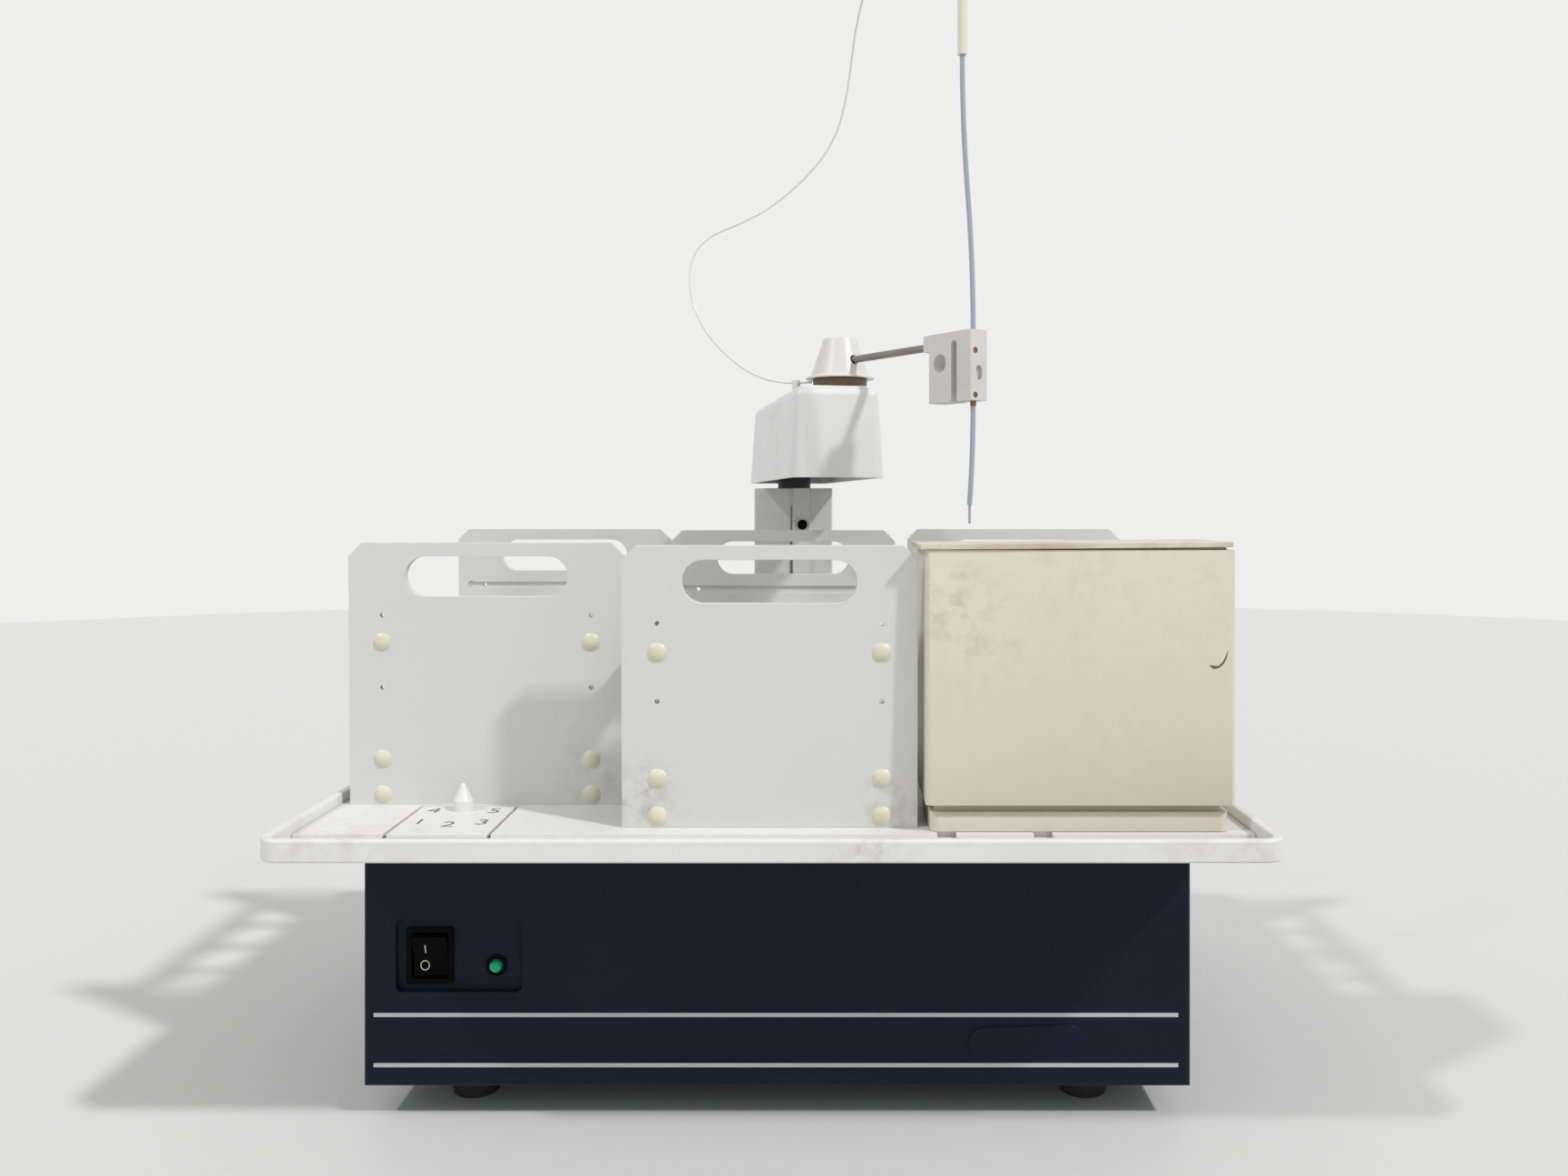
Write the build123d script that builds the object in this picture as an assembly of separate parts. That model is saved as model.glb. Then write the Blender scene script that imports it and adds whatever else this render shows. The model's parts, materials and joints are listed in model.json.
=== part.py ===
from build123d import *
import math
import os

# Autosampler for a plasma spectrometer. Millimetres, +Z up, +X right, front towards -Y.
# Origin: centre of the tray's plan, on the table.

# Overall
TRAY_W = 540.0
TRAY_D = 430.0
FOOT_H = 20.0
BASE_W = 486.0
BASE_H = 155.0
BASE_SETBACK = 86.0
BASE_REAR_GAP = 10.0

# Base housing
SHEET_T = 2.0
FLANGE_W = 14.0
PANEL_T = 3.0
PANEL_CHAMFER = 2.5
RECESS_W = 74.7
RECESS_H = 42.9
RECESS_DEPTH = 4.0
RECESS_R = 4.0
RECESS_WALL = 2.5
RECESS_X = -187.2
RECESS_Z = 96.8
FOOT_R = 16.0
FOOT_INSET_X = 55.0
FOOT_INSET_Y = 42.0
VENT_COUNT = 9
VENT_PITCH = 9.0
VENT_W = 3.0
VENT_H = 40.0

# Mains switch and lamp
SWITCH_X = -205.1
SWITCH_Z = 95.9
SWITCH_W = 27.5
SWITCH_H = 33.0
BEZEL_LIP = 1.2
BEZEL_FRAME = 3.0
BEZEL_DEPTH = 14.0
ROCKER_GAP = 0.4
ROCKER_REACH = 10.0
ROCKER_TILT = 10.0
ROCKER_PIN_R = 1.5
PIN_CLEAR = 0.05
LAMP_X = -166.0
LAMP_Z = 90.0
LAMP_R = 6.3
LENS_R = 3.9
LENS_OUT = 4.0
LAMP_DEPTH = 12.0

# Tray and deck
RIM_H = 12.2
RIM_T = 5.5
RIM_EDGE_R = 1.6
TRAY_CORNER_R = 12.0
TRAY_FLOOR_T = 3.0
DECK_T = 3.2
DECK_GAP = 0.5
DECK_FRONT = 35.0
NOTCH_W = 10.6
NOTCH_D = 8.0
NOTCH_X = (95.0, 148.0)
PLATE_X = -184.85
PLATE_W = 55.3
PLATE_D = 66.0
PLATE_T = 2.0
PLATE_GROOVE = 2.0
PEG_R = 5.85
PEG_X = -186.0
PEG_BACK = 91.0
PEG_BASE_H = 6.0
PEG_CONE_H = 10.3
PEG_TIP_R = 1.6

# Tower
TOWER_X = 3.0
MAST_FROM_REAR = 52.0
MAST_Y = TRAY_D / 2 - MAST_FROM_REAR
TRAVEL_END = 200.0
TOWER_W = 62.0
TOWER_D = 60.0
TOWER_TOP = 375.8
TOWER_CAP_H = 7.9
TOWER_WALL = 3.0
TOWER_GAP = 2.0
TOWER_SLIT = 2.0
TOWER_SLIT_X = -1.3
NECK = 40.0
NECK_WALL = 3.0
NECK_FLANGE_H = 6.0
SLOT_GAP = 2.0
BAR_W = 14.2
BAR_T = 2.5
BAR_H = 75.0
BAR_X = 6.5
KNOB_R = 3.9
KNOB_OUT = 4.5
KNOB_Z = 347.0

# Carriage and horizontal drive
CARRIAGE_W = 68.0
CARRIAGE_D = 72.0
CARRIAGE_H = 30.0
CARRIAGE_BASE = 95.0
RAIL_R = 6.0
RAIL_SPREAD = 22.0
BUSH_R = 10.0
BUSH_L = 24.0
RAIL_BLOCK_T = 5.0
RAIL_BLOCK_W = 20.0
X_SCREW_R = 5.0
X_SCREW_DROP = 33.0
X_NUT_R = 11.0
X_NUT_L = 24.0
X_NUT_SHIFT = 18.0
MOTOR_W = 42.0
MOTOR_L = 40.0

# Mast and vertical drive
MAST_R = 13.3
MAST_BORE_R = 10.0
MAST_BOTTOM = 140.0
MAST_TOP = 388.0
MAST_BUSH_H = 20.0
LOWER_BUSH_Z = 298.0
Z_SCREW_R = 4.0
Z_SCREW_TOP = 315.0
Z_SOCKET = 10.0
NUT_H = 20.0
SPINDLE_R = 6.0
SPINDLE_PLUG = 30.0
SPINDLE_TOP = 424.0
WASHER_T = 2.0
FIT = 0.05
REST_GAP = 0.3

# Head
HEAD_YAW = 10.5
HEAD_REAR = 33.0
HEAD_FRONT = 189.0
HEAD_HALF_W = 32.5
HEAD_BOTTOM = 380.7
HEAD_TOP = 443.4
HEAD_TAPER = 3.65
HEAD_CORNER_R = 9.0
HEAD_EDGE_R = 8.0
HEAD_WALL = 2.5
SEAM_BOTTOM = 129.0
SEAM_TOP = 185.0
SEAM_GAP = 0.3
GROOVE_REACH = 116.0
GROOVE_W = 0.5
FRAME_Z = 400.0
FRAME_T = 3.0
FRAME_INSET = 0.3
FRAME_FRONT = 176.0
FRAME_REAR = 22.0
HEAD_HUB_R = 17.0
BEARING_R = 12.0
BEARING_H = 8.0
HUB_TOP = 420.0
SWING_MOTOR_R = 16.0

# Gear train under the head
TEETH = 17
MODULE = 1.0
GEAR_SPREAD = 0.15
GEAR_THIN = 0.12
GEAR_T = 5.0
GEAR_Z = 382.7
UPPER_GEAR_Z = 389.7
GEAR_PIN_R = 2.0
GEAR_HEAD_R = 3.4
GEAR_HEAD_T = 0.9
ARM_MOTOR_R = 8.5
ARM_MOTOR_H = 26.0
MOTOR_SOCKET = 6.0

# Arm
HUB_SIDE = 9.4
HUB_REACH = 145.0
ARM_YAW = 25.0
HUB_SPINDLE_R = 5.0
HUB_BOSS_R = 9.0
HUB_BOSS_TOP = 436.0
COLLAR_R = 19.0
COLLAR_BORE_R = 7.0
COLLAR_H = 7.0
CONE_Z = 451.0
CONE_H = 28.6
CONE_BASE_R = 24.2
CONE_FLARE_R = 20.3
CONE_FLARE_H = 2.6
CONE_TOP_R = 11.6
CONE_EDGE_R = 1.5
CONE_BRIM_T = 0.7
CONE_HOLLOW_R = 19.6
CONE_HOLLOW_H = 4.0
SPINDLE_SEAT = 4.0
ROD_R = 2.5
ROD_Z = 463.4
ROD_MOUTH_R = 3.3
ROD_MOUTH_IN = 11.0
ROD_TAIL = 6.0
ROD_GRIP = 14.0

# Probe holder
HOLDER_END = 144.7
HOLDER_L = 45.3
HOLDER_T = 13.7
HOLDER_TOP = 469.8
HOLDER_H = 43.5
TAB_L = 5.6
TAB_H = 10.4
BIG_HOLE_R = 5.8
BIG_HOLE_BACK = 28.95
BIG_HOLE_Z = 451.1
CLAMP_SLOT_W = 5.1
CLAMP_SLOT_BACK = 15.45
CLAMP_SLOT_TOP = 464.4
OVAL_W = 5.1
OVAL_H = 9.2
OVAL_Z = 443.3
OVAL_DEPTH = 2.6
CLAMP_SCREW_R = 1.9
CLAMP_SCREW_L = 3.2
CLAMP_SCREW_SIDE = -2.9
CLAMP_SCREW_Z = (457.0, 429.6)

# Probe
PROBE_BACK = 5.3
PROBE_R = 1.6
PROBE_BOTTOM = 362.0
PROBE_TIP_Z = 350.5
PROBE_TIP_R = 0.8
PROBE_TOP = 640.0
PROBE_TIP_BOW = 2.2
PROBE_TOP_BOW = 6.7
SLEEVE_R = 3.0
SLEEVE_L = 48.0

# Capillary
CAPILLARY_D = 1.6
CLIP_X = 7.5
CLIP_Y = 29.2
CLIP_W = 4.4
CLIP_L = 5.0
CLIP_H = 7.6
CLIP_SLOT = 2.2

# Racks
RACK_W = 165.6
RACK_L = 236.0
RACK_H = 158.0
RACK_PLATE_T = 6.0
RACK_LEAN = 1.1
RACK_CHAMFER = 8.0
HANDLE_W = 98.0
HANDLE_H = 24.3
HANDLE_DROP = 8.1
CAP_INSET = 20.0
CAP_DROPS = (59.8, 130.4, 151.7)
CAP_R = 5.5
CAP_H = 2.0
SPARE_DROPS = (43.6, 87.2)
SPARE_HOLE_R = 1.45
GROOVE_H = 5.0
GROOVE_D = 1.5
GROOVE_END_R = 3.4
GROOVE_INSET = 10.4
SHELF_T = 5.0
SHELF_INSET = 5.0
BOTTLE_R = 23.5
BOTTLE_COLS = 2
BOTTLE_ROWS = 4
BOTTLE_PITCH_X = 74.0
BOTTLE_PITCH_Y = 54.0
REST_PAD_D = 10.0
RACK_PLACES = {"left": (-175.5, 105.0), "centre": (-2.9, 50.0), "right": (175.6, 105.0)}

# Rinse reservoir
TANK_LEFT = 83.5
TANK_W = 170.2
TANK_FRONT = 36.0
TANK_D = 64.0
TANK_BOTTOM = 196.8
TANK_TOP = 337.0
TANK_WALL = 3.0
TANK_R = 2.5
NECK_IN = 5.0
PLINTH_IN = 2.6
PLINTH_FRONT_IN = 4.0
PLINTH_H = 11.1
PLINTH_R = 5.0
LID_T = 2.8
LID_LEFT = 80.4
LID_W = 171.6
LID_OVER = 1.0
LID_RISE = 1.3
LID_BOW = 0.5
LID_TONGUE_H = 4.0
LID_TONGUE_GAP = 1.0

# Inside the base
SUPPLY = (110.0, 70.0, 42.0)
SUPPLY_AT = (130.0, -60.0)
BOARD = (170.0, 100.0, 1.6)
BOARD_AT = (-60.0, -50.0)
BOARD_LIFT = 9.0
STANDOFF_R = 3.5
SERVICE_INLET = (27.0, 20.0)
INLET_FROM_SIDE = 53.0
PORT_FROM_INLET = 70.0
INLET_X = -BASE_W / 2 + INLET_FROM_SIDE
PORT_X = INLET_X + PORT_FROM_INLET
SOCKET_Z = 60.0

# Levels and places worked out from the sizes above
BASE_FRONT_Y = -TRAY_D / 2 + BASE_SETBACK
BASE_REAR_Y = TRAY_D / 2 - BASE_REAR_GAP
BASE_TOP = FOOT_H + BASE_H
FLOOR_Z = FOOT_H + SHEET_T
TRAY_FLOOR_Z = BASE_TOP + TRAY_FLOOR_T
DECK_TOP = TRAY_FLOOR_Z + DECK_T
RIM_TOP = BASE_TOP + RIM_H
DECK_FRONT_Y = -TRAY_D / 2 + DECK_FRONT
INNER_FRONT_Y = BASE_FRONT_Y + PANEL_T
INNER_REAR_Y = BASE_REAR_Y - SHEET_T
INNER_SIDE_X = BASE_W / 2 - SHEET_T
CARRIAGE_TOP = CARRIAGE_BASE + CARRIAGE_H
RAIL_Z = CARRIAGE_BASE + CARRIAGE_H / 2
TOWER_FRONT_Y = MAST_Y - TOWER_D / 2
TOWER_CAP_Z = TOWER_TOP - TOWER_CAP_H
BUSH_BORE_R = RAIL_R + FIT
SLOT_HALF_W = TRAVEL_END + NECK / 2 + SLOT_GAP
SLOT_D = NECK + 2 * SLOT_GAP
GEAR_STEP = TEETH * MODULE + GEAR_SPREAD
GEAR_ROW = HUB_REACH + math.sqrt(GEAR_STEP**2 - (GEAR_STEP - HUB_SIDE) ** 2)
MESH_ANGLE = math.degrees(math.atan2(GEAR_ROW - HUB_REACH, HUB_SIDE - GEAR_STEP))
REST_PAD_H = (RACK_L - RACK_PLATE_T) * math.sin(math.radians(RACK_LEAN))
HEAD_HUB_Z = MAST_TOP + WASHER_T + REST_GAP
HEAD_H = HEAD_TOP - HEAD_BOTTOM
CORD_R = CAPILLARY_D / 2

# Frames of the moving assemblies, at rest
HEAD_FRAME = Pos(TOWER_X, MAST_Y, 0) * Rot(0, 0, HEAD_YAW)
ARM_FRAME = HEAD_FRAME * Pos(HUB_SIDE, -HUB_REACH, 0) * Rot(0, 0, ARM_YAW)

# The capillary's route, from the hub collar through the clip, round its loop and over to the probe.
CAPILLARY_ROUTE = [
    (18.6, 25.6, 449.3),
    (9.0, 28.6, 449.2),
    (-3.3, 32.0, 449.8),
    (-18.2, 38.0, 453.6),
    (-33.4, 46.0, 462.7),
    (-48.9, 54.0, 476.6),
    (-61.7, 61.0, 492.5),
    (-69.6, 66.0, 510.2),
    (-72.7, 68.0, 525.7),
    (-72.2, 69.0, 539.1),
    (-68.0, 70.0, 552.3),
    (-58.0, 70.3, 562.5),
    (-40.2, 69.4, 569.6),
    (-21.6, 67.4, 577.6),
    (-3.0, 64.6, 589.6),
    (13.0, 61.2, 602.8),
    (27.6, 57.0, 618.6),
    (37.6, 52.4, 635.6),
    (43.6, 46.0, 657.0),
    (47.0, 38.4, 679.4),
    (50.0, 28.0, 702.0),
    (56.6, 11.0, 724.6),
    (69.6, -16.0, 740.4),
    (85.6, -46.0, 745.0),
    (100.4, -71.6, 737.4),
    (109.8, -86.8, 722.0),
    (112.8, -91.4, 704.0),
    (112.8, -91.4, 688.0),
]


def block(x0, x1, y0, y1, z0, z1):
    """A box between two corners."""
    size = Box(x1 - x0, y1 - y0, z1 - z0)
    return Pos((x0 + x1) / 2, (y0 + y1) / 2, (z0 + z1) / 2) * size


def post(x, y, z0, z1, r):
    """An upright cylinder."""
    return Pos(x, y, (z0 + z1) / 2) * Cylinder(r, z1 - z0)


def bar_x(x0, x1, y, z, r):
    """A cylinder along X."""
    return Pos((x0 + x1) / 2, y, z) * Rot(0, 90, 0) * Cylinder(r, x1 - x0)


def bar_y(x, y0, y1, z, r):
    """A cylinder along Y."""
    return Pos(x, (y0 + y1) / 2, z) * Rot(90, 0, 0) * Cylinder(r, y1 - y0)


def rounded_block(w, d, z0, z1, r):
    """An upright prism with rounded corners, centred on the Z axis."""
    return Pos(0, 0, z0) * extrude(RectangleRounded(w, d, r), z1 - z0)


def wall_prism(sketch, x, y0, y1, z):
    """A sketch drawn in the front view, extruded from y0 back to y1."""
    return Pos(x, y1, z) * Rot(90, 0, 0) * extrude(sketch, y1 - y0)


# Base housing


def base_shell():
    """Folded sheet: floor, two sides and the flanges that carry the tray."""
    y0, y1 = INNER_FRONT_Y, INNER_REAR_Y
    half = BASE_W / 2
    shell = block(-half, half, y0, y1, FOOT_H, FLOOR_Z)
    for side in (-1, 1):
        outer, inner = side * half, side * INNER_SIDE_X
        lip = side * (INNER_SIDE_X - FLANGE_W)
        shell += block(min(outer, inner), max(outer, inner), y0, y1, FOOT_H, BASE_TOP)
        shell += block(min(outer, lip), max(outer, lip), y0, y1, BASE_TOP - SHEET_T, BASE_TOP)
    return shell


def front_panel():
    """Front panel with its recessed control pocket and chamfered foot."""
    half = BASE_W / 2
    y0, y1 = BASE_FRONT_Y, INNER_FRONT_Y
    panel = block(-half, half, y0, y1, FOOT_H, BASE_TOP)
    panel = chamfer(panel.edges().filter_by(Axis.Z).group_by(Axis.Y)[0], PANEL_CHAMFER / 2)
    low_front = panel.edges().filter_by(Axis.X).group_by(Axis.Y)[0].sort_by(Axis.Z)[0]
    panel = chamfer(low_front, PANEL_CHAMFER / 2)
    pocket_back = y0 + RECESS_DEPTH + RECESS_WALL
    margin = 2 * RECESS_WALL
    outer = RectangleRounded(RECESS_W + margin, RECESS_H + margin, RECESS_R + RECESS_WALL)
    panel += wall_prism(outer, RECESS_X, y0 + RECESS_WALL, pocket_back, RECESS_Z)
    inner = RectangleRounded(RECESS_W, RECESS_H, RECESS_R)
    panel -= wall_prism(inner, RECESS_X, y0 - 1, y0 + RECESS_DEPTH, RECESS_Z)
    opening = Rectangle(SWITCH_W - 2 * BEZEL_LIP, SWITCH_H - 2 * BEZEL_LIP)
    panel -= wall_prism(opening, SWITCH_X, y0, pocket_back + 1, SWITCH_Z)
    panel -= bar_y(LAMP_X, y0, pocket_back + 1, LAMP_Z, LAMP_R - BEZEL_LIP)
    return panel


def rear_panel():
    """Flat rear panel with vent slots and the two socket cut-outs."""
    half = BASE_W / 2
    y0, y1 = INNER_REAR_Y, BASE_REAR_Y
    panel = block(-half, half, y0, y1, FOOT_H, BASE_TOP)
    slot = Rot(0, 0, 90) * SlotOverall(VENT_H, VENT_W)
    for i in range(VENT_COUNT):
        x = (i - (VENT_COUNT - 1) / 2) * VENT_PITCH + BASE_W / 4
        panel -= wall_prism(slot, x, y0 - 1, y1 + 1, (FOOT_H + BASE_TOP) / 2)
    inlet_w, inlet_h = SERVICE_INLET
    panel -= wall_prism(Rectangle(inlet_w, inlet_h), INLET_X, y0 - 1, y1 + 1, SOCKET_Z)
    port_w, port_h = PORT_SIZE
    panel -= wall_prism(Rectangle(port_w, port_h), PORT_X, y0 - 1, y1 + 1, SOCKET_Z)
    return panel


PORT_SIZE = (19.0, 9.0)
SOCKET_FLANGE = 3.0
SOCKET_PROUD = 2.0
SOCKET_DEEP = 19.0


def socket_block(size, x, cavity):
    """A panel socket: flange, body behind the panel and a cavity from outside."""
    w, h = size
    flange = RectangleRounded(w + 2 * SOCKET_FLANGE, h + 2 * SOCKET_FLANGE, 2.0)
    piece = wall_prism(flange, x, BASE_REAR_Y, BASE_REAR_Y + SOCKET_PROUD, SOCKET_Z)
    piece += wall_prism(Rectangle(w, h), x, BASE_REAR_Y - SOCKET_DEEP, BASE_REAR_Y, SOCKET_Z)
    hole = RectangleRounded(w - 2 * cavity, h - 2 * cavity, 1.5)
    mouth = BASE_REAR_Y + SOCKET_PROUD + 1
    piece -= wall_prism(hole, x, BASE_REAR_Y - SOCKET_DEEP + cavity + 1, mouth, SOCKET_Z)
    return piece


def rear_sockets():
    """Mains inlet with its three blades, and the small data socket."""
    piece = socket_block(SERVICE_INLET, INLET_X, 2.0)
    for dx, dz in ((-7.0, -1.5), (7.0, -1.5), (0.0, 2.5)):
        blade = Rectangle(2.0, 4.0)
        back = BASE_REAR_Y - SOCKET_DEEP + 2.0
        piece += wall_prism(blade, INLET_X + dx, back, BASE_REAR_Y - 8.0, SOCKET_Z + dz)
    return [piece, socket_block(PORT_SIZE, PORT_X, 1.2)]


def feet():
    """Four rubber feet, waisted towards the floor, each with its screw recess."""
    profile = [
        (3.0, 3.0),
        (3.0, 0.0),
        (FOOT_R - 2.0, 0.0),
        (FOOT_R, FOOT_H * 0.6),
        (FOOT_R, FOOT_H),
        (0.0, FOOT_H),
        (0.0, 3.0),
    ]
    foot = revolve(make_face(Plane.XZ * Polyline(*profile, close=True)), Axis.Z)
    x = BASE_W / 2 - FOOT_INSET_X
    ys = (BASE_FRONT_Y + FOOT_INSET_Y, BASE_REAR_Y - FOOT_INSET_Y)
    return [Pos(sx * x, y, 0) * foot for sx in (-1, 1) for y in ys]


# Mains switch and lamp

POCKET_Y = BASE_FRONT_Y + RECESS_DEPTH
ROCKER_W = SWITCH_W - 2 * BEZEL_FRAME
ROCKER_H = SWITCH_H - 2 * BEZEL_FRAME
ROCKER_PIVOT_Y = POCKET_Y + 3.5


def switch_bezel():
    """Switch body with its framed front, a well for the rocker and two pivot pins."""
    lip = RectangleRounded(SWITCH_W, SWITCH_H, 1.5)
    piece = wall_prism(lip, SWITCH_X, POCKET_Y - 1.6, POCKET_Y, SWITCH_Z)
    body = Rectangle(SWITCH_W - 2 * BEZEL_LIP - 0.2, SWITCH_H - 2 * BEZEL_LIP - 0.2)
    piece += wall_prism(body, SWITCH_X, POCKET_Y, POCKET_Y + BEZEL_DEPTH, SWITCH_Z)
    well = Rectangle(ROCKER_W, ROCKER_H)
    piece -= wall_prism(well, SWITCH_X, POCKET_Y - 2, POCKET_Y + ROCKER_REACH, SWITCH_Z)
    half = ROCKER_W / 2
    for side in (-1, 1):
        end = SWITCH_X + side * (half - 1.6)
        wall = SWITCH_X + side * (half + 0.5)
        piece += bar_x(min(end, wall), max(end, wall), ROCKER_PIVOT_Y, SWITCH_Z, ROCKER_PIN_R)
    return piece


def rocker():
    """Two-sided rocker, shown switched off, with sockets for its pivot pins."""
    w = ROCKER_W - 2 * ROCKER_GAP
    h = ROCKER_H / 2 - 2 * ROCKER_GAP
    back = h * 0.55
    outline = [(0.0, -3.2), (h, -5.0), (h, 0.0), (back, 2.8), (-back, 2.8), (-h, 0.0), (-h, -5.0)]
    side_view = make_face(Polyline(*outline, close=True))
    body = extrude(Plane((w / 2, 0, 0), x_dir=(0, 0, 1), z_dir=(-1, 0, 0)) * side_view, w)
    socket_r = ROCKER_PIN_R + PIN_CLEAR
    for side in (-1, 1):
        x = side * w / 2
        body -= bar_x(x - 1.9, x + 1.9, 0, 0, socket_r)
    return Pos(SWITCH_X, ROCKER_PIVOT_Y, SWITCH_Z) * Rot(ROCKER_TILT, 0, 0) * body


def lamp_bezel():
    """Black ring that holds the lamp in the pocket."""
    piece = bar_y(LAMP_X, POCKET_Y - 1.0, POCKET_Y, LAMP_Z, LAMP_R)
    piece += bar_y(LAMP_X, POCKET_Y, POCKET_Y + LAMP_DEPTH, LAMP_Z, LAMP_R - BEZEL_LIP)
    piece -= bar_y(LAMP_X, POCKET_Y - 2, POCKET_Y + LAMP_DEPTH + 1, LAMP_Z, LENS_R)
    return piece


def lamp_lens():
    """Green domed lens."""
    back, front = POCKET_Y + LAMP_DEPTH, POCKET_Y - 1.0
    lens = bar_y(LAMP_X, front - LENS_OUT + LENS_R * 0.7, back, LAMP_Z, LENS_R)
    dome = Pos(LAMP_X, front - LENS_OUT + LENS_R * 0.7, LAMP_Z) * Sphere(LENS_R)
    keep = block(LAMP_X - 9, LAMP_X + 9, front - LENS_OUT, back, LAMP_Z - 9, LAMP_Z + 9)
    return (lens + dome) & keep


# Inside the base


def power_supply():
    """Enclosed supply on the floor of the base."""
    w, d, h = SUPPLY
    x, y = SUPPLY_AT
    case = block(x - w / 2, x + w / 2, y - d / 2, y + d / 2, FLOOR_Z, FLOOR_Z + h)
    case = fillet(case.edges().filter_by(Axis.Z), 2.0)
    case -= block(x - w / 2 + 5, x + w / 2 - 5, y - d / 2 - 1, y - d / 2 + 8, FLOOR_Z + 8, FLOOR_Z + 18)
    return case


def control_board():
    """Circuit board on four standoffs, with its chips and headers."""
    w, d, t = BOARD
    x, y = BOARD_AT
    z = FLOOR_Z + BOARD_LIFT
    board = block(x - w / 2, x + w / 2, y - d / 2, y + d / 2, z, z + t)
    for sx in (-1, 1):
        for sy in (-1, 1):
            board += post(x + sx * (w / 2 - 6), y + sy * (d / 2 - 6), FLOOR_Z, z, STANDOFF_R)
    for dx, dy, cw, cd, ch in ((-45, 5, 24, 24, 3), (10, 20, 16, 30, 3), (55, -25, 30, 12, 10), (0, -40, 60, 8, 9)):
        board += block(x + dx - cw / 2, x + dx + cw / 2, y + dy - cd / 2, y + dy + cd / 2, z + t, z + t + ch)
    return board


def rails():
    """Two ground guide rods and the end blocks that hold them to the side walls."""
    pieces = []
    rod_end = INNER_SIDE_X
    for side in (-1, 1):
        y = MAST_Y + side * RAIL_SPREAD
        pieces.append(bar_x(-rod_end, rod_end, y, RAIL_Z, RAIL_R))
        for end in (-1, 1):
            inner, outer = end * (INNER_SIDE_X - RAIL_BLOCK_T), end * INNER_SIDE_X
            half = RAIL_BLOCK_W / 2
            cheek = block(min(inner, outer), max(inner, outer), y - half, y + half, FLOOR_Z, RAIL_Z + half)
            pieces.append(cheek - bar_x(min(inner, outer) - 1, max(inner, outer) + 1, y, RAIL_Z, RAIL_R))
    return pieces


def motor_body(length):
    """A square stepping motor along Z, its mounting face at z = 0 and its body below."""
    body = Pos(0, 0, -length / 2) * Box(MOTOR_W, MOTOR_W, length)
    body = chamfer(body.edges().filter_by(Axis.Z), 4.0)
    return body


X_SCREW_Z = CARRIAGE_BASE - X_SCREW_DROP + CARRIAGE_H / 2
X_SCREW_Y = MAST_Y - CARRIAGE_D / 2 - X_NUT_R - 11.0
X_MOTOR_FACE = -INNER_SIDE_X + MOTOR_L + 2.0


def x_motor():
    """Motor of the horizontal screw, on its bracket beside the left wall."""
    socket = bar_x(X_MOTOR_FACE - Z_SOCKET, X_MOTOR_FACE + 4, X_SCREW_Y, X_SCREW_Z, X_SCREW_R + FIT)
    body = Pos(X_MOTOR_FACE, X_SCREW_Y, X_SCREW_Z) * Rot(0, 90, 0) * motor_body(MOTOR_L)
    half = MOTOR_W / 2
    plate_top = X_SCREW_Z + half
    plate = block(
        X_MOTOR_FACE, X_MOTOR_FACE + 3, X_SCREW_Y - half, X_SCREW_Y + half, FLOOR_Z, plate_top
    )
    far = INNER_SIDE_X - RAIL_BLOCK_T
    return [body + plate - socket, far_bearing(far)]


def far_bearing(x):
    """Bearing cheek for the far end of the horizontal screw."""
    cheek = block(x - 5, INNER_SIDE_X, X_SCREW_Y - 12, X_SCREW_Y + 12, FLOOR_Z, X_SCREW_Z + 12)
    return cheek - bar_x(x - 6, x + 1, X_SCREW_Y, X_SCREW_Z, X_SCREW_R + FIT)


def x_screw():
    """Horizontal drive screw, as a plain rod of its outer diameter."""
    start = X_MOTOR_FACE - Z_SOCKET + 1
    return bar_x(start, INNER_SIDE_X - RAIL_BLOCK_T, X_SCREW_Y, X_SCREW_Z, X_SCREW_R)


# Tray


def tower_slot(z0, z1):
    """The long slot that the tower's neck travels in."""
    return block(-SLOT_HALF_W, SLOT_HALF_W, MAST_Y - SLOT_D / 2, MAST_Y + SLOT_D / 2, z0, z1)


def tray_pan():
    """Wide shallow tray with its rounded rim."""
    pan = rounded_block(TRAY_W, TRAY_D, BASE_TOP, RIM_TOP, TRAY_CORNER_R)
    inner_r = TRAY_CORNER_R - RIM_T
    pan -= rounded_block(TRAY_W - 2 * RIM_T, TRAY_D - 2 * RIM_T, TRAY_FLOOR_Z, RIM_TOP + 1, inner_r)
    pan = fillet(pan.edges().group_by(Axis.Z)[-1], RIM_EDGE_R)
    pan = chamfer(pan.edges().group_by(Axis.Z)[0], 1.0)
    return pan - tower_slot(BASE_TOP - 1, RIM_TOP)


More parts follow.
